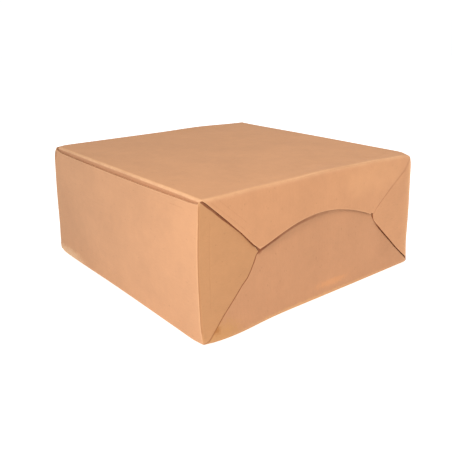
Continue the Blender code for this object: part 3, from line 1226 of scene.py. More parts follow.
@dataclass(frozen=True)
class Kraft:
    """Kraft paper on a face of the board.

    Attributes:
        name: the material's name.
        colour: the paper's linear colour.
        cloud: how far the tone drifts.
        ribs: how strongly the flutes show through.
        wear: how strongly creases are rubbed pale, which also paints their highlights.
        pale: colour of rubbed paper and of painted crease highlights.
        shade: colour of pressed lines, painted as the shade of gaps, folds and seams.
        roughness: the paper's roughness.
        patches: rubbed or smudged places.
        streaks: how strongly fibre streaks tint it.
        rib_tone: how strongly ribs tint it.
        speck_share: how much of a dark speck shows.
        speck_dark: brightness of a speck as a share of the paper's.
        cut_wear: wear of cut edges as a share of the creases'.
        line_share: how much of the shade shows in pressed lines.
        specular: the paper's gloss.
        fibre_relief: height of the fibres, in bump depths.
        rib_relief: height of the ribs, in bump depths.
        bump_depth: depth of the bump.
        bump_strength: its strength.
    """

    name: str
    colour: Colour
    cloud: float = 0.16
    ribs: float = 0.5
    wear: float = 0.8
    pale: Colour = (0.84, 0.52, 0.29)
    shade: Colour = (0.20, 0.06, 0.02)
    roughness: float = 0.78
    patches: tuple[Patch, ...] = ()
    streaks: float = 0.14
    rib_tone: float = 0.012
    speck_share: float = 0.28
    speck_dark: float = 0.55
    cut_wear: float = 0.2
    line_share: float = 0.95
    specular: float = 0.3
    fibre_relief: float = 0.035
    rib_relief: float = 0.03
    bump_depth: float = 1 * MM
    bump_strength: float = 0.9

    def dress(self, groups: ShaderGroups) -> bpy.types.Material:
        """Builds the material.

        Args:
            groups: the shared node groups.

        Returns:
            The material.
        """
        material = bpy.data.materials.new(self.name)
        material.use_nodes = True
        bench = NodeBench(material.node_tree)
        shader = material.node_tree.nodes["Principled BSDF"]
        paper = bench.node("ShaderNodeGroup", node_tree=groups.paper)
        ribs = bench.node("ShaderNodeGroup", node_tree=groups.ribs)
        wear = bench.node("ShaderNodeGroup", node_tree=groups.wear)
        tone = bench.math("MULTIPLY", paper.outputs["Tone"], self.cloud)
        tone = bench.math("ADD", tone, bench.math("MULTIPLY", paper.outputs["Streaks"], self.streaks))
        shading = bench.math("MULTIPLY", ribs.outputs["Ribs"], self.rib_tone * self.ribs)
        tone = bench.math("ADD", bench.math("ADD", tone, shading), 1.0)
        colour = bench.mix(1.0, (*self.colour, 1.0), bench.grey(tone), "MULTIPLY")
        dark = tuple(channel * self.speck_dark for channel in self.colour)
        # Over the paper: dark specks, creases rubbed pale with painted highlights, frayed cut edges, and
        # pressed lines darkened as marks and painted shade.
        layers = (
            (paper.outputs["Specks"], self.speck_share, dark),
            (wear.outputs["Fold"], self.wear, self.pale),
            (wear.outputs["Cut"], self.cut_wear * self.wear, self.pale),
            (wear.outputs["Line"], self.line_share, self.shade),
        )
        for mask, most, tint in layers:
            colour = bench.mix(bench.math("MULTIPLY", mask, most), colour, (*tint, 1.0))
        for patch in self.patches:
            mask = bench.node("ShaderNodeGroup", node_tree=groups.patch)
            mask.inputs["Centre"].default_value = patch.centre
            mask.inputs["Spread"].default_value = patch.spread
            mask.inputs["Grain"].default_value = patch.grain
            share = bench.math("MULTIPLY", mask.outputs["Mask"], patch.share)
            colour = bench.mix(share, colour, (*patch.colour, 1.0))
        bench.feed(shader.inputs["Base Color"], colour)
        shader.inputs["Roughness"].default_value = self.roughness
        shader.inputs["Specular IOR Level"].default_value = self.specular
        fibres = bench.math("MULTIPLY", paper.outputs["Relief"], self.fibre_relief)
        raised = bench.math("MULTIPLY", ribs.outputs["Ribs"], self.rib_relief * self.ribs)
        bump = bench.node("ShaderNodeBump")
        bump.inputs["Distance"].default_value = self.bump_depth
        bump.inputs["Strength"].default_value = self.bump_strength
        bench.feed(bump.inputs["Height"], bench.math("ADD", fibres, raised))
        bench.feed(shader.inputs["Normal"], bump.outputs["Normal"])
        material.diffuse_color = (*self.colour, 1.0)
        return material


@dataclass(frozen=True)
class DriedGlue:
    """Dried glue: yellowed, slightly glossy, with skin wrinkles.

    Attributes:
        name: the material's name.
        colour: the glue's linear colour.
        deep: brightness of its deeper places as a share of that.
        roughness: its roughness where it is smoothest.
        rougher: how much rougher its deeper places are.
        clouds: scale of those places.
        wrinkles: scale of its wrinkles.
        wrinkle_depth: depth of its wrinkles.
    """

    name: str = "dried_glue_film"
    colour: Colour = (0.78, 0.68, 0.46)
    deep: float = 0.8
    roughness: float = 0.38
    rougher: float = 0.15
    clouds: float = 180.0
    wrinkles: float = 700.0
    wrinkle_depth: float = 0.2 * MM

    def dress(self) -> bpy.types.Material:
        """Builds the material.

        Returns:
            The material.
        """
        material = bpy.data.materials.new(self.name)
        material.use_nodes = True
        bench = NodeBench(material.node_tree)
        shader = material.node_tree.nodes["Principled BSDF"]
        place = bench.node("ShaderNodeTexCoord").outputs["Object"]
        cloud = bench.ramp(bench.noise(place, self.clouds, 3.0), 0.3, 0.7)
        deep = tuple(channel * self.deep for channel in self.colour)
        bench.feed(shader.inputs["Base Color"], bench.mix(cloud, (*self.colour, 1.0), (*deep, 1.0)))
        roughness = bench.ramp(cloud, 0.0, 1.0, self.roughness, self.roughness + self.rougher)
        bench.feed(shader.inputs["Roughness"], roughness)
        bump = bench.node("ShaderNodeBump")
        bump.inputs["Distance"].default_value = self.wrinkle_depth
        bench.feed(bump.inputs["Height"], bench.noise(place, self.wrinkles, 2.0))
        bench.feed(shader.inputs["Normal"], bump.outputs["Normal"])
        material.diffuse_color = (*self.colour, 1.0)
        return material


class Finishes:
    """Every finish on the box."""

    def __init__(self) -> None:
        """Dresses each finish once."""
        groups = ShaderGroups()
        # Painted light and shade on the front panel: paler near its front edge, where it is brightest lit,
        # and darker towards its far end.
        light = front_patch((105, 80), (40, 45), (0.66, 0.34, 0.17), 0.2, 80.0)
        far_painted_shade = front_patch((-95, 30), (40, 45), (0.36, 0.18, 0.09), 0.18, 80.0)
        pale_wear = front_patch((-95, 3), (45, 8), (0.66, 0.44, 0.26), 0.55, 420.0)
        # Painted light: paler over the upper back of the lock end, where it is brightest lit.
        upper_back_painted_light = end_patch((175, 90), (55, 20), (0.66, 0.34, 0.16), 0.25, 60.0)
        smudge = end_patch((200, 26), (16, 16), (0.36, 0.17, 0.08), 0.30, 220.0)
        scuff = end_patch((130, 10), (26, 4), (0.62, 0.27, 0.10), 0.35, 520.0)
        foot_wear = end_patch((110, 0), (150, 4.5), (0.58, 0.32, 0.13), 0.6, 380.0)
        golden = end_patch((16, 3), (24, 14), (0.44, 0.225, 0.07), 0.5, 620.0)
        stain = end_patch((12.5, 8.5), (4.5, 4.5), (0.33, 0.13, 0.035), 0.8, 500.0)
        side_marks = (light, far_painted_shade, pale_wear)
        low_marks = (smudge, scuff, foot_wear, golden, stain)
        # One kraft board in copies whose colours are set face by face for how each face is lit: painted light
        # and shade.
        self.top = Kraft("kraft_top", (0.516, 0.256, 0.121)).dress(groups)
        self.side = Kraft("kraft_side", (0.486, 0.252, 0.130), patches=side_marks).dress(groups)
        # Painted shade: the glue flap is darker, for the shade in its recess under the seam's bead.
        self.glue_flap = Kraft("kraft_glue_flap", (0.44, 0.213, 0.108)).dress(groups)
        self.end_upper = Kraft("kraft_end_upper", (0.484, 0.235, 0.112), patches=(upper_back_painted_light,)).dress(groups)
        # Painted shade: the front triangle and the lower flap are darker copies, for the shade they take as
        # they lean in.
        self.end_front = Kraft("kraft_end_front", (0.438, 0.214, 0.092)).dress(groups)
        self.end_lower = Kraft("kraft_end_lower", (0.436, 0.212, 0.104), patches=low_marks).dress(groups)
        plain = {"ribs": 0.0, "wear": 0.0}
        self.core = Kraft("kraft_medium", (0.420, 0.205, 0.100), **plain).dress(groups)
        # Painted shade: the lock end's cut edges are darker, for the shade in its narrow gaps and slits.
        self.end_core_painted_shade = Kraft("kraft_end_medium_painted_shade", (0.300, 0.105, 0.040), **plain).dress(groups)
        inner = Kraft("kraft_inside", (0.560, 0.330, 0.180), cloud=0.2, ribs=1.0, wear=0.2)
        self.inside = inner.dress(groups)
        self.glue = DriedGlue().dress()

    def board(self, outer: bpy.types.Material) -> list[bpy.types.Material]:
        """The three finishes of a sheet with a given outer face; the lock end's cut edges take a darker,
        painted shade.
        """
        at_end = outer in (self.end_upper, self.end_front, self.end_lower)
        return [outer, self.inside, self.end_core_painted_shade if at_end else self.core]


@dataclass(frozen=True)
class Film:
    """How a film of glue swells and wavers.

    Attributes:
        rings: its rings from the inner face over the rim to the outer face: the share of the outline's
            size, and the distance from the film's middle depth.
        middle: that depth, below the outer face.
        step: largest spacing of the points on its rim.
        waver: how far the rim wavers, as a share of its distance from the centre.
        turns: how fast it does, from point to point, in two waves.
    """

    rings: Spots = (
        (0.5, 0.15 * MM),
        (0.85, 0.15 * MM),
        (0.97, 0.126 * MM),
        (1.0, 0.03 * MM),
        (0.97, -0.126 * MM),
        (0.85, -0.15 * MM),
        (0.5, -0.15 * MM),
    )
    middle: float = 0.15 * MM
    step: float = 3 * MM
    waver: float = 0.05
    turns: Flat = (1.7, 0.63)

    def rim(self, sheet: Sheet) -> list[Vector]:
        """The points of the film's rim.

        Args:
            sheet: the film's outline.

        Returns:
            The points, from the outline's centre.
        """
        centre = sum(sheet.outline, Vector((0, 0))) / len(sheet.outline)
        spots = []
        for start, end, _ in sheet.sides():
            count = max(2, math.ceil((end - start).length / self.step))
            spots += [start.lerp(end, step / count) for step in range(count)]
        fast, slow = self.turns
        points = []
        for number, spot in enumerate(spots):
            wave = 1 + math.sin(number * fast) * math.cos(number * slow)
            points.append((spot - centre) * (1 - self.waver * wave))
        return points


FILM = Film()


class Workshop:
    """Makes boards and fixes them to the frame."""

    def __init__(self, finishes: Finishes) -> None:
        """Keeps the finishes and starts counting pieces."""
        self.finishes = finishes
        self.made = 0

    def fix(self, piece: bpy.types.Object, node: str) -> None:
        """Lets a piece stand for a node.

        Args:
            piece: the new piece.
            node: the node that it stands for.
        """
        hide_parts(node)
        self.made += 1
        LOG.info("made %s for %s with %d faces", piece.name, node, len(piece.data.polygons))

    def board(self, sheet: Sheet, outer: bpy.types.Material, body: str | None = "carton") -> bpy.types.Object:
        """Makes a sheet's board.

        Args:
            sheet: the sheet.
            outer: the finish of its outer face.
            body: the body that it rides on, or None for a board that rides on none.

        Returns:
            The board.
        """
        maker = SheetMaker(sheet, PATTERN_STEP * (self.made + 1))
        piece = maker.make(self.finishes.board(outer))
        self.fix(piece, sheet.node)
        if body is not None:
            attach(piece, body)
        return piece

    def glue_film(self, node: str, sheet: Sheet) -> None:
        """Makes a film of dried glue, with a wavy rim and a crowned middle, between two boards.

        Args:
            node: the node that it stands for.
            sheet: its outline and place; its depth is that of the film's outer face.
        """
        film = bmesh.new()
        centre = sum(sheet.outline, Vector((0, 0))) / len(sheet.outline)
        rim = FILM.rim(sheet)
        loops = []
        for share, offset in FILM.rings:
            places = np.array([centre + point * share for point in rim])
            world = sheet.place(places, np.full(len(places), FILM.middle + offset))
            loops.append([film.verts.new(point) for point in world])
        for first, second in zip(loops, loops[1:]):
            for index in range(len(rim)):
                after = (index + 1) % len(rim)
                film.faces.new((first[index], first[after], second[after], second[index]))
        film.faces.new(loops[0])
        film.faces.new(loops[-1])
        bmesh.ops.recalc_face_normals(film, faces=film.faces[:])
        data = bpy.data.meshes.new(node + "_film")
        for face in film.faces:
            face.smooth = True
        film.to_mesh(data)
        film.free()
        data.materials.append(self.finishes.glue)
        piece = put(data.name, data)
        self.fix(piece, node)
        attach(piece, "carton")


def edge_crease(axis: int, place: float, into: int, angle: float = SQUARE, wear: float = 0.3) -> Crease:
    """A crease along a line of constant first or second coordinate.

    Args:
        axis: 0 where the first coordinate is constant, 1 where the second is.
        place: that coordinate.
        into: 1 where the sheet has higher coordinates, -1 where it has lower ones.
        angle: interior angle between the boards.
        wear: how pale the crease is rubbed, which also paints its highlight.

    Returns:
        The crease.
    """
    normal = Vector((1, 0)) if axis == 0 else Vector((0, 1))
    return Crease(normal * place, normal * into, angle, wear)


@dataclass
class Tube:
    """The glued tube: bottom, back, top and front panels, the glue flap and its glue.

    Attributes:
        carton: the box's places.
        flap_depth: depth of the glue flap.
        flap_taper: taper of its ends.
        flap_clearance: distance of its ends from the box's ends.
        glue_band: low and high edge of the glue, below the top.
        glue_margin: distance of the glue's ends from the box's ends.
        seam_drops: how far the front panel's cut edge lies below the top, at shares of the half length.
        far_drop: how far it lies below the top at the lid.
        front_marks: shallow lines on the front panel, in millimetres, as are the next two.
        front_swells: the hollow under its cut edge.
        top_marks: shallow lines on the top panel.
    """

    carton: Carton = CARTON
    seam_drops: Spots = (
        (1.0, 2.3 * MM),
        (0.97, 3.0 * MM),
        (0.9, 3.8 * MM),
        (0.6, 4.6 * MM),
        (0.3, 5.0 * MM),
        (0.0, 5.2 * MM),
        (-0.4, 5.1 * MM),
        (-0.7, 5.0 * MM),
        (-0.88, 4.4 * MM),
        (-0.95, 3.3 * MM),
    )
    far_drop: float = 2.0 * MM
    flap_depth: float = 30 * MM
    flap_taper: float = 14 * MM
    flap_clearance: float = 1.0 * MM
    glue_band: Flat = (-21.5 * MM, -9.5 * MM)
    glue_margin: float = 16 * MM
    front_marks: Marks = (((76, 92.5), (96, 93), 0.09, 0.5), ((82, 89), (99, 88.5), 0.07, 0.4))
    front_swells: Swells = (((0, 97.5), (300, 6.5), -0.85),)
    top_marks: Marks = (
        ((10, 109), (104, 110), 0.10, 1.0),
        ((-45, 107), (-20, 108), 0.09, 0.8),
        ((88, 20), (95, 34), 0.09, 0.6),
        ((99, 66), (104, 82), 0.10, 0.6),
        ((101, 92), (96, 104), 0.09, 0.6),
    )

    def bottom(self) -> Sheet:
        """The panel that the box rests on.

        Returns:
            The panel.
        """
        end, side = self.carton.end_x, self.carton.side_y
        creases = [
            edge_crease(0, side, -1),
            edge_crease(1, end, -1, SQUARE - self.carton.lower_lean),
            edge_crease(0, -side, 1),
        ]
        outline = rectangle(-side, -end, side, end)
        return Sheet("bottom_panel", outline, {1, 2, 3}, Vector(), Y_AXIS, X_AXIS, Vector((0, 1)), creases)

    def front(self) -> Sheet:
        """The long side panel whose cut top edge shows along the glue seam.

        Returns:
            The panel.
        """
        low, high = self.carton.dust_x, self.carton.end_x
        notch, height = low + BOARD.radius, self.carton.height
        foot, head = self.carton.dust_foot, self.carton.dust_head
        outline = outline_of((low, 0), (high, 0))
        outline += [Vector((high * along, height - drop)) for along, drop in self.seam_drops]
        outline += outline_of((low, height - self.far_drop), (notch, head), (notch, foot), (low, foot))
        top_end = len(self.seam_drops) + 2
        folds = {0, 1, top_end, top_end + 1, top_end + 2}
        corner = SQUARE - self.carton.front_lean
        creases = [edge_crease(1, 0, 1), Crease(Vector((high, 0)), Vector((-1, 0)), corner, 0.2, 1.3 * MM, 4)]
        origin = Vector((0, -self.carton.side_y, 0))
        made = Sheet("front_panel", outline, folds, origin, X_AXIS, Z_AXIS, Vector((1, 0)), creases)
        made.scores = marks_of(self.front_marks)
        made.swells = swells_of(self.front_swells)
        made.flattened = set(range(2, top_end))
        made.flattened_face = Face.OUTER
        return made

    def back(self) -> Sheet:
        """The long side panel away from the seam, creased on all four edges.

        Returns:
            The panel.
        """
        low, high = -self.carton.end_x, -self.carton.dust_x
        notch, height = high - BOARD.radius, self.carton.height
        foot, head = self.carton.dust_foot, self.carton.dust_head
        outline = outline_of((low, 0), (high, 0), (high, foot), (notch, foot))
        outline += outline_of((notch, head), (high, head), (high, height), (low, height))
        creases = [edge_crease(1, 0, 1), edge_crease(1, height, -1), edge_crease(0, low, 1)]
        folds, origin = {0, 2, 3, 4, 6, 7}, Vector((0, self.carton.side_y, 0))
        return Sheet("back_panel", outline, folds, origin, -X_AXIS, Z_AXIS, Vector((1, 0)), creases)

    def top(self) -> Sheet:
        """The top of the box. Its crease to the lid belongs to the lid, which bends there.

        Returns:
            The panel.
        """
        end = self.carton.end_x
        low, high = self.carton.seam_y, self.carton.side_y
        outline = rectangle(-end + BOARD.radius, low, end, high)
        # The pale bands of the seam and end creases paint the highlights of the lit bead and edge, as well as
        # rubbing.
        creases = [
            Crease(Vector((0, low)), Vector((0, 1)), SQUARE, 0.55, 1.6 * MM, 4),
            edge_crease(0, end, -1, SQUARE, 0.45),
            edge_crease(1, high, -1),
        ]
        origin = Vector((0, 0, self.carton.height))
        made = Sheet("top_panel", outline, {0, 1, 2, 3}, origin, X_AXIS, Y_AXIS, Vector((1, 0)), creases)
        made.scores = marks_of(self.top_marks)
        return made

    def seam_origin(self, behind: float) -> Vector:
        """A point on the top edge of the seam, at a distance behind the front face."""
        return Vector((0, -self.carton.side_y + behind, self.carton.height))

    def glue_flap(self) -> Sheet:
        """The strip that turns down from the top panel behind the front panel.

        Returns:
            The flap.
        """
        half, depth = self.carton.end_x - self.flap_clearance, self.flap_depth
        foot = half - self.flap_taper
        outline = outline_of((-foot, -depth), (foot, -depth), (half, 0), (-half, 0))
        origin = self.seam_origin(BOARD.thickness + self.carton.glue_room)
        # Its crisp pale band paints the highlight of the lit bead along the seam.
        creases = [Crease(Vector((0, 0)), Vector((0, -1)), SQUARE, 0.7, 1.8 * MM, 6)]
        return Sheet("glue_flap", outline, {2}, origin, X_AXIS, Z_AXIS, Vector((1, 0)), creases)

    def seam_glue(self) -> Sheet:
        """The band of glue between the glue flap and the front panel.

        Returns:
            The band's outline and place.
        """
        half = self.carton.end_x - self.glue_margin
        outline = rectangle(-half, self.glue_band[0], half, self.glue_band[1])
        origin = self.seam_origin(BOARD.thickness + self.carton.gap)
        return Sheet("seam_glue_line", outline, set(), origin, X_AXIS, Z_AXIS, Vector((1, 0)))

    def build(self, shop: Workshop) -> None:
        """Makes the tube's boards and glue.

        Args:
            shop: where they are made.
        """
        shop.board(self.bottom(), shop.finishes.side)
        shop.board(self.front(), shop.finishes.side)
        shop.board(self.back(), shop.finishes.side)
        shop.board(self.top(), shop.finishes.top)
        shop.board(self.glue_flap(), shop.finishes.glue_flap)
        shop.glue_film("seam_glue_line", self.seam_glue())


@dataclass
class LockEnd:
    """The crash-lock end: two large flaps, two triangles, and the tabs that join them.

    Spots, marks and swells are in millimetres, from the end's front bottom corner where nothing else is said.

    Attributes:
        carton: the box's places.
        blunt: the back triangle's free edge from its blunt tip to its foot.
        heel: the lower large flap's free edge beside it, which passes behind the blunt tip.
        overlap: how far the lower flap reaches up behind the curved seam beside its tongue.
        tongue: start, end and top of the lower flap's tongue.
        tongue_radius: radius of the tongue's corners.
        tab_radius: radius of the tabs' free corners.
        arch_steps: pieces of the curved seam.
        arch_curve: its start at the front, two handles and end.
        tab_glue_share: size of the glue on a tab.
        front_tab: corners of the front tab.
        back_tab: corners of the back tab, from the back bottom corner.
        front_fold: the bowed fold of the front triangle, up to its tip.
        fold_dips: depths of the lines pressed along it, whose darkening paints the shade in the fold.
        fold_widths: their half widths.
        front_diagonal: its free edge, from the tip to the front crease.
        back_fold: the line on which the back triangle meets the upper large flap, up to the corner.
        upper_diagonal: the upper large flap's free edge, from the front crease to the curved seam.
        notch: the end of the upper large flap's seam beside the back triangle's tip.
        eye: the small notch in the lower large flap behind it.
        ear: the lower large flap's corner behind the tip of the upper one.
        diagonal_dips: depths of the lines pressed along the front triangle's free edge, whose darkening
            paints the shade of the gap beside the upper flap.
        diagonal_widths: their half widths.
        back_dips: depths of the lines pressed along the back fold, whose darkening paints a soft shade along
            it.
        back_widths: their half widths, which broaden upwards.
        seam_shadow_line: the line that the curved seam has pressed into the lower large flap, darkened as the
            painted shadow under the seam's edge.
        seam_shadow_dips: its depth from spot to spot.
        seam_shadow_widths: its half width from spot to spot.
        heel_shade_size: depth and half width of the lines pressed beside the heel, darkened as painted shade
            of the slit there.
        front_marks: shallow lines on the front triangle; the first is darkened as painted shade beside its
            front crease.
        upper_marks: those on the upper large flap.
        wedge_shade_marks: the hollow below the front triangle's tip, darkened as painted shade in the wedge
            there.
        upper_swells: low bulges of the upper large flap.
        lower_swells: those of the lower large flap.
    """

    carton: Carton = CARTON
    blunt: Spots = ((179.5, 53.6), (180.3, 51.4), (182.6, 49.0), (205.1, 28.3), (216.8, 16.7), (228.0, 5.5))
    heel: Spots = (
        (228.6, 0), (227.4, 4.4), (216.9, 15.6), (205.8, 26.9), (194.2, 37.8), (184.8, 46.7), (182.4, 48.8),
        (180.1, 51.2), (179.3, 53.3),
    )
    overlap: float = 4.5 * MM
    tongue: Sizes = (62.2 * MM, 141.3 * MM, 85.0 * MM)
    tongue_radius: float = 8 * MM
    tab_radius: float = 4 * MM
    arch_steps: int = 60
    arch_curve: Spots = ((52.0, 57.3), (76.2, 63.1), (105.2, 87.8), (178.8, 56.4))
    tab_glue_share: float = 0.5
    front_tab: Spots = ((8.2, 5.3), (63.2, 5.3), (91.8, 40.8), (45.9, 52.0))
    back_tab: Spots = ((7.65, 96.7), (65.0, 96.7), (70.0, 77.5), (42.3, 66.3))
    front_fold: Spots = (
        (0, 0), (5.2, 2.2), (13.0, 9.2), (20.3, 16.3), (30.6, 26.5), (36.6, 33.0), (42.0, 37.5), (45.3, 42.3),
        (48.6, 48.1),
    )
    fold_dips: Sizes = (0.15, 0.16, 0.17, 0.17, 0.17, 0.17, 0.17, 0.20, 0.27)
    fold_widths: Sizes = (1.0, 0.8, 0.5, 0.5, 0.5, 0.5, 0.5, 0.5, 0.5)
    front_diagonal: Spots = (
        (52.2, 54.9), (48.3, 60.6), (36.2, 73.0), (21.6, 85.1), (10.0, 95.7), (3.2, 101.5), (0, 101.5),
    )
    back_fold: Spots = ((178.8, 56.4), (183.5, 61.5), (199.6, 74.2), (220.1, 88.5), (230.0, 102.0))
    upper_diagonal: Spots = (
        (3.4, 101.8), (10.1, 95.9), (21.8, 85.3), (35.7, 72.5), (46.4, 61.8), (52.2, 57.2),
    )
    notch: Spots = ((176.0, 57.8), (176.9, 58.4), (178.2, 58.2))
    eye: Spots = ((178.4, 54.6), (179.0, 56.4), (180.6, 57.6), (180.2, 60.0))
    ear: Spots = ((49.5, 64.5), (48.6, 60.8), (52.6, 55.0))
    diagonal_dips: Sizes = (0.28, 0.30, 0.35, 0.45)
    diagonal_widths: Sizes = (1.1, 1.1, 1.25, 1.4)
    back_dips: Sizes = (0.12, 0.13, 0.115, 0.10)
    back_widths: Sizes = (0.55, 0.75, 1.5, 2.6)
    seam_shadow_line: Spots = (
        (51.4, 53.8), (62.5, 57.6), (73.5, 60.8), (81.3, 63.3), (92.4, 66.1), (101.9, 67.7), (113.4, 69.0),
        (127.0, 69.1),
    )
    seam_shadow_dips: Sizes = (0.25, 0.19, 0.16, 0.16, 0.15, 0.13, 0.10)
    seam_shadow_widths: Sizes = (1.1, 1.4, 1.4, 1.4, 1.4, 1.4, 1.4)
    heel_shade_size: Flat = (0.15, 0.7)
    front_marks: Marks = (((0.4, 8), (0.4, 98), 0.11, 1.3), ((9.5, 18), (9.5, 88), 0.08, 0.4))
    upper_marks: Marks = (((10, 99), (44, 69.5), 0.085, 0.3), ((16, 99.5), (42, 77.5), 0.085, 0.3))
    wedge_shade_marks: Marks = (((49.5, 60.5), (53.5, 55.3), 0.25, 3.0),)
    upper_swells: Swells = (((92, 68), (30, 10), 0.8), ((150, 85), (30, 20), 0.4))
    lower_swells: Swells = (
        ((88, 62), (32, 12), -0.9), ((155, 58), (24, 12), 0.5), ((179, 50.5), (12, 6.5), 1.3),
    )

    def from_back(self, spots: Spots) -> list[Vector]:
        """Places in millimetres from the end's back bottom corner, in reverse order."""
        return [Vector((self.carton.width - spot.x, spot.y)) for spot in reversed(in_mm(spots))]

    def creases(self) -> list[Crease]:
        """The four creases round the end.

        Returns:
            The creases.
        """
        # The pale bands of these creases paint the highlights of their lit rounded edges, as well as rubbing.
        return [
            edge_crease(1, 0, 1, SQUARE - self.carton.lower_lean),
            edge_crease(1, self.carton.height, -1, SQUARE, 0.35),
            edge_crease(0, 0, 1, SQUARE - self.carton.front_lean, 0),
            Crease(Vector((self.carton.width, 0)), Vector((-1, 0)), SQUARE, 0.75, 3.5 * MM),
        ]

    def sheet(
        self,
        node: str,
        outline: list[Vector],
        folds: set[int],
        flutes: Vector,
        lean: float = 0,
        upright: bool = False,
    ) -> Sheet:
        """A flap in the end's plane, leaning in about its own crease where it has a lean.

        Args:
            node: the node that it stands for.
            outline: its outline.
            folds: its folded sides.
            flutes: direction of its flutes.
            lean: how far it leans in.
            upright: whether its crease is upright.

        Returns:
            The flap.
        """
        right, up = Y_AXIS.copy(), Z_AXIS.copy()
        if upright:
            right.rotate(Matrix.Rotation(lean, 3, "Z"))
        else:
            up.rotate(Matrix.Rotation(-lean, 3, "Y"))
        origin = Vector((self.carton.end_x, -self.carton.side_y, 0))
        return Sheet(node, outline, folds, origin, right, up, flutes, self.creases())

    def arch(self, lift: float = 0.0) -> list[Vector]:
        """The curved seam from its front end to its back end.

        Args:
            lift: how far it is moved up.

        Returns:
            Its points.
        """
        start, first, second, end = in_mm(self.arch_curve)
        points = []
        for step in range(self.arch_steps + 1):
            share = step / self.arch_steps
            rest = 1 - share
            near = start * rest ** 3 + first * 3 * share * rest ** 2
            far = second * 3 * share ** 2 * rest + end * share ** 3
            points.append(near + far + Vector((0, lift)))
        return points

    def upper(self) -> Sheet:
        """The upper large flap, outermost, whose free edge is the curved seam.

        Returns:
            The flap.
        """
        inset = self.carton.seam_y + self.carton.side_y
        height, width = self.carton.height, self.carton.width
        outline = [Vector((width, height)), Vector((inset, height))] + in_mm(self.upper_diagonal)
        low, high = outline[-1].x, self.notch[0][0] * MM
        outline += [spot for spot in self.arch() if low < spot.x < high]
        outline += in_mm(self.notch + self.back_fold[:-1])
        folds = {0} | set(range(len(outline) - len(self.back_fold) + 1, len(outline)))
        made = self.sheet("upper_major_flap", outline, folds, Vector((0, 1)))
        made.creases[2] = edge_crease(0, inset, 1, SQUARE, 0.1)
        made.scores = self.back_scores() + marks_of(self.upper_marks)
        made.flattened = set(range(1, 1 + len(self.upper_diagonal)))
        made.swells = swells_of(self.upper_swells)
        return made

    def back_triangle(self) -> Sheet:
        """The back triangle, level with the upper large flap, with a blunt tip.

        Returns:
            The flap.
        """
        outline = [Vector((self.carton.width, 0))] + in_mm(self.back_fold[::-1] + self.blunt)
        made = self.sheet("back_minor_flap", outline, set(range(len(self.back_fold))), Vector((1, 0)))
        made.scores = self.back_scores()
        made.flattened = set(range(len(self.back_fold), len(outline)))
        return made

    def back_scores(self) -> list[Score]:
        """The pressed lines along the back fold, which broaden upwards and paint a soft shade along it."""
        return score_run(self.back_fold, self.back_dips, self.back_widths)

    def fold_line(self) -> list[Vector]:
        """The bowed line on which the front triangle meets the lower large flap."""
        return in_mm(self.front_fold) + [Vector(self.carton.front_tip)]

    def front_triangle(self) -> Sheet:
        """The front triangle, which leans in to the lower large flap and is pressed in at its free edge,
        darkened there as painted shade of the gap.

        Returns:
            The flap.
        """
        line = self.fold_line()
        outline = line + in_mm(self.front_diagonal)
        folds = set(range(len(line) - 1)) | {len(outline) - 1}
        made = self.sheet("front_minor_flap", outline, folds, Vector((1, 0)), self.carton.front_lean, True)
        made.scores = self.fold_scores(line)
        made.scores += score_run(self.front_diagonal[1:-1], self.diagonal_dips, self.diagonal_widths, 4)
        made.scores += marks_of(self.front_marks)
        made.flattened = set(range(len(line) - 1, len(outline) - 1))
        return made

    def fold_scores(self, line: list[Vector]) -> list[Score]:
        """The pressed lines along the bowed fold, broad at its foot and deepest at its tip, darkened as
        painted shade in the fold.
        """
        runs = zip(line, line[1:], self.fold_dips, self.fold_widths)
        return [Score(start, end, dip * MM, width * MM) for start, end, dip, width in runs]

    def lower_scores(self) -> list[Score]:
        """The lines pressed into the lower flap, deepest below the front tip: painted shadow under the curved
        seam, and painted shade in the wedge below the front tip and beside the heel.

        Returns:
            The lines.
        """
        made = score_run(self.seam_shadow_line, self.seam_shadow_dips, self.seam_shadow_widths, 4)
        made += marks_of(self.wedge_shade_marks)
        heel, (dip, width) = self.heel[1:6], self.heel_shade_size
        return made + score_run(heel, (dip,) * len(heel), (width,) * len(heel))

    def lower(self) -> Sheet:
        """The lower large flap, which leans in and whose tongue passes up behind the upper one.

        Returns:
            The flap.
        """
        line = self.fold_line()
        start_u, end_u, top = self.tongue
        outline = [line[0]] + in_mm(self.heel + self.eye)
        behind = [spot for spot in self.arch(self.overlap) if end_u < spot.x < outline[-1].x]
        outline += list(reversed(behind)) + [Vector((end_u, top)), Vector((start_u, top))]
        radii = [0.0] * len(outline)
        radii[-2] = radii[-1] = self.tongue_radius
        rest = in_mm(self.ear) + [line[-1]]
        outline = rounded(outline + rest, radii + [0.0] * len(rest))
        start = len(outline) - 1
        outline += list(reversed(line[1:-1]))
        folds = {0} | set(range(start, len(outline)))
        made = self.sheet("lower_major_flap", outline, folds, Vector((0, 1)), self.carton.lower_lean)
        made.scores = self.fold_scores(line) + self.lower_scores()
        made.flattened = set(range(1, 1 + len(self.heel)))
        made.swells = swells_of(self.lower_swells)
        return made

    def tab(self, node: str, corners: list[Vector], lean: float) -> Sheet:
        """A glued tab behind a large flap, with its two free corners rounded.

        Args:
            node: the node that it stands for.
            corners: its corners.
            lean: how far it leans in.

        Returns:
            The tab.
        """
        outline = rounded(corners, [0, self.tab_radius, self.tab_radius, 0])
        made = self.sheet(node, outline, set(), Vector((1, 0)), lean)
        made.creases = []
        made.depth = BOARD.thickness + self.carton.glue_room
        return made

    def tab_glue(self, corners: list[Vector], lean: float) -> Sheet:
        """The film of glue that holds a tab.

        Args:
            corners: the tab's corners.
            lean: how far it leans in.

        Returns:
            The film's outline and place.
        """
        middle = sum(corners, Vector((0, 0))) / len(corners)
        outline = [middle + (corner - middle) * self.tab_glue_share for corner in corners]
        made = self.sheet("", outline, set(), Vector((1, 0)), lean)
        made.creases = []
        made.depth = BOARD.thickness + self.carton.gap
        return made

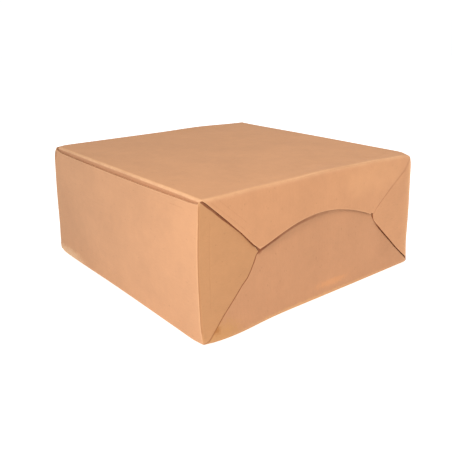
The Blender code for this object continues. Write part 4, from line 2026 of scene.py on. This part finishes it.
    def build(self, shop: Workshop) -> None:
        """Makes the end's flaps, tabs and glue.

        Args:
            shop: where they are made.
        """
        finishes = shop.finishes
        shop.board(self.upper(), finishes.end_upper)
        shop.board(self.back_triangle(), finishes.end_upper)
        shop.board(self.front_triangle(), finishes.end_front)
        shop.board(self.lower(), finishes.end_lower)
        front, back = in_mm(self.front_tab), self.from_back(self.back_tab)
        lean = self.carton.lower_lean
        shop.board(self.tab("front_glue_tab", front, lean), finishes.inside)
        shop.glue_film("front_tab_glue", self.tab_glue(front, lean))
        shop.board(self.tab("back_glue_tab", back, 0), finishes.inside)
        shop.glue_film("back_tab_glue", self.tab_glue(back, 0))


@dataclass
class TuckEnd:
    """The tuck end: the lid, its tuck flap and the two dust flaps.

    Attributes:
        carton: the box's places.
        side_relief: how far the lid stays inside the sides.
        tuck_relief: how far the tuck flap stays inside the lid's sides.
        tuck_depth: depth of the tuck flap.
        tuck_radius: radius of its free corners.
        tuck_lean: how far it leans up.
        dust_length: length of a dust flap.
        foot_slope: slope of its lower edge.
        head_slope: slope of its upper edge.
        dust_radius: radius of its free corners.
    """

    carton: Carton = CARTON
    side_relief: float = 1 * MM
    tuck_relief: float = 3 * MM
    tuck_depth: float = 20 * MM
    tuck_radius: float = 10 * MM
    tuck_lean: float = math.radians(10.9)
    dust_length: float = 62 * MM
    foot_slope: float = math.radians(4)
    head_slope: float = math.radians(31)
    dust_radius: float = 7 * MM

    def lid(self) -> Sheet:
        """The lid with its whole crease at the top; its lower crease belongs to the tuck flap.

        Returns:
            The lid.
        """
        half = self.carton.side_y - self.side_relief
        drop = self.carton.height - self.carton.lid_foot
        reach = edge_crease(1, 0, 1, SQUARE - self.tuck_lean).reach
        outline = rectangle(-half, reach - drop, half, BOARD.radius)
        origin = Vector((-self.carton.end_x, 0, self.carton.height))
        creases = [edge_crease(1, 0, -1)]
        made = Sheet("lid_panel", outline, {0, 2}, origin, -Y_AXIS, Z_AXIS, Vector((0, 1)), creases)
        made.flattened, made.flattened_face = {1, 3}, Face.INNER
        return made

    def tuck(self) -> Sheet:
        """The tuck flap with its whole crease.

        Returns:
            The flap.
        """
        half = self.carton.side_y - self.side_relief
        inner, depth = half - self.tuck_relief, self.tuck_depth
        crease = edge_crease(1, 0, 1, SQUARE - self.tuck_lean)
        reach = crease.reach
        outline = outline_of((-half, -reach), (half, -reach), (inner, reach))
        outline += outline_of((inner, depth), (-inner, depth), (-inner, reach))
        outline = rounded(outline, [0, 0, 0, self.tuck_radius, self.tuck_radius, 0])
        inward = X_AXIS.copy()
        inward.rotate(Matrix.Rotation(-self.tuck_lean, 3, "Y"))
        origin = Vector((-self.carton.end_x, 0, self.carton.lid_foot))
        return Sheet("tuck_flap", outline, {0}, origin, Y_AXIS, inward, Vector((0, 1)), [crease])

    def dust(self, node: str, side: int) -> Sheet:
        """A dust flap with its whole crease.

        Args:
            node: the node that it stands for.
            side: -1 at the front panel, 1 at the back panel.

        Returns:
            The flap.
        """
        foot, head, length = self.carton.dust_foot, self.carton.dust_head, self.dust_length
        foot_end = foot + length * math.tan(self.foot_slope)
        head_end = head - length * math.tan(self.head_slope)
        corners = outline_of((-BOARD.radius, foot), (length, foot_end), (length, head_end))
        corners += outline_of((0, head), (-BOARD.radius, head))
        outline = rounded(corners, [0, self.dust_radius, self.dust_radius, 0, 0])
        if side < 0:
            outline = [Vector((-corner.x, corner.y)) for corner in reversed(outline)]
        folds = {len(outline) - 1}
        origin = Vector((self.carton.dust_x, side * self.carton.side_y, 0))
        creases = [edge_crease(0, 0, side)]
        return Sheet(node, outline, folds, origin, -Y_AXIS, Z_AXIS, Vector((1, 0)), creases)

    def build(self, shop: Workshop) -> None:
        """Makes the lid, the tuck flap and the dust flaps, each bending along its own crease.

        Args:
            shop: where they are made.
        """
        finishes = shop.finishes
        lid = shop.board(self.lid(), finishes.side, None)
        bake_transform(lid)
        tuck = shop.board(self.tuck(), finishes.side, None)
        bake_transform(tuck)
        for node, body, side in (("front_dust_flap", "front_dust", -1), ("back_dust_flap", "back_dust", 1)):
            flap = shop.board(self.dust(node, side), finishes.side, None)
            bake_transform(flap)


class Beam(Enum):
    """How a lamp shines."""

    SPOT = "SPOT"
    BOX = "AREA"


@dataclass(frozen=True)
class Lamp:
    """One light of the studio.

    Attributes:
        name: its name.
        beam: how it shines.
        place: where it hangs.
        aim: what it points at.
        power: its power in watts.
        colour: its colour.
        size: width and height of a soft box, or radius of a spot's lamp.
        angle: whole angle of a spot's cone.
    """

    name: str
    beam: Beam
    place: Place
    aim: Place
    power: float
    colour: Colour
    size: float
    angle: float = math.radians(23)

    def hang(self) -> None:
        """Adds the light and points it. A spot fades from the middle of its cone to the rim."""
        data = bpy.data.lights.new(self.name, self.beam.value)
        if self.beam is Beam.SPOT:
            data.spot_size = self.angle
            data.spot_blend = 1.0
            data.shadow_soft_size = self.size
        else:
            data.size = self.size
        data.energy = self.power
        data.color = self.colour
        light = put(self.name, data)
        light.location = self.place
        way = Vector(self.aim) - Vector(self.place)
        light.rotation_euler = way.to_track_quat("-Z", "Y").to_euler()


@dataclass(frozen=True)
class Studio:
    """The pale floor, the soft light and the camera at the photograph's angle.

    Attributes:
        eye: the camera's place.
        ahead: the way that it looks.
        above: its upward direction.
        focal_pixels: focal length in pixels of the photograph.
        shift_pixels: how far the frame is shifted, in the same pixels.
        sensor: width of the camera's sensor, in millimetres.
        nearest: how near the camera sees.
        floor_size: half of the floor's size.
        floor_drop: how far the floor lies below the box.
        floor_shades: its darkest and palest grey.
        floor_roughness: its roughness.
        floor_specular: its gloss.
        floor_glow: how much light the floor gives of itself.
        sky_strength: brightness of the white surroundings.
        lamps: the lights.
    """

    eye: Vector = Vector((0.39451, -0.31692, 0.20549))
    ahead: Vector = Vector((-0.75764, 0.60588, -0.24266))
    above: Vector = Vector((-0.18801, 0.15344, 0.97011))
    focal_pixels: float = 572.51
    shift_pixels: float = -50.0
    sensor: float = 36.0
    nearest: float = 10 * MM
    floor_size: float = 4.0
    floor_drop: float = 0.25 * MM
    floor_shades: Flat = (0.60, 0.62)
    floor_roughness: float = 0.9
    floor_specular: float = 0.1
    floor_glow: float = 0.74
    sky_strength: float = 1.02
    lamps: tuple[Lamp, ...] = (
        Lamp(
            "side_soft_spot", Beam.SPOT, (0.45, -1.10, 0.72), (0.165, -0.115, 0.06), 38.0,
            (1, 0.92, 0.84), 0.12,
        ),
        Lamp("end_soft_box", Beam.BOX, (1.1, 0.35, 0.70), (0.11, 0.0, 0.08), 1.7, (1, 0.93, 0.84), 0.6),
    )

    def add_camera(self) -> None:
        """Adds the camera and makes it the scene's own."""
        data = bpy.data.cameras.new("photo_camera")
        data.sensor_width = self.sensor
        data.lens = self.sensor * self.focal_pixels / PHOTO_WIDTH
        data.shift_y = self.shift_pixels / PHOTO_WIDTH
        data.clip_start = self.nearest
        camera = put(data.name, data)
        back = -self.ahead.normalized()
        right = self.above.cross(back).normalized()
        turn = Matrix((right, back.cross(right), back)).transposed().to_4x4()
        camera.matrix_world = Matrix.Translation(self.eye) @ turn
        bpy.context.scene.camera = camera

    def add_floor(self) -> None:
        """Adds the floor, a wide sheet of pale matt card."""
        grid = bmesh.new()
        bmesh.ops.create_grid(grid, x_segments=8, y_segments=8, size=self.floor_size)
        data = bpy.data.meshes.new("studio_floor")
        grid.to_mesh(data)
        grid.free()
        floor = put(data.name, data)
        floor.location = (0, 0, -self.floor_drop)
        material = bpy.data.materials.new("pale_floor")
        material.use_nodes = True
        bench = NodeBench(material.node_tree)
        shader = material.node_tree.nodes["Principled BSDF"]
        place = bench.node("ShaderNodeTexCoord").outputs["Object"]
        cloud = bench.ramp(bench.noise(place, 3.0, 2.0), 0.2, 0.8)
        dark, pale = ((shade, shade, shade, 1) for shade in self.floor_shades)
        bench.feed(shader.inputs["Base Color"], bench.mix(cloud, dark, pale))
        shader.inputs["Roughness"].default_value = self.floor_roughness
        shader.inputs["Specular IOR Level"].default_value = self.floor_specular
        shader.inputs["Emission Color"].default_value = (1, 1, 1, 1)
        shader.inputs["Emission Strength"].default_value = self.floor_glow
        data.materials.append(material)

    def add_light(self) -> None:
        """Adds the white surroundings, a soft spot and a soft box."""
        world = bpy.data.worlds.new("white_studio")
        world.use_nodes = True
        sky = world.node_tree.nodes["Background"]
        sky.inputs["Color"].default_value = (1, 1, 1, 1)
        sky.inputs["Strength"].default_value = self.sky_strength
        bpy.context.scene.world = world
        bpy.context.scene.view_settings.view_transform = "Standard"
        for lamp in self.lamps:
            lamp.hang()

    def build(self) -> None:
        """Sets up the camera, the floor and the lights."""
        self.add_camera()
        self.add_floor()
        self.add_light()
        LOG.info("set up the studio")


def main() -> None:
    """Builds the studio and the box."""
    logging.basicConfig(level=logging.INFO, format="%(name)s: %(message)s")
    Studio().build()
    shop = Workshop(Finishes())
    for part in (Tube(), LockEnd(), TuckEnd()):
        part.build(shop)
        LOG.info("finished the %s", type(part).__name__)


if __name__ == "__main__":
    main()
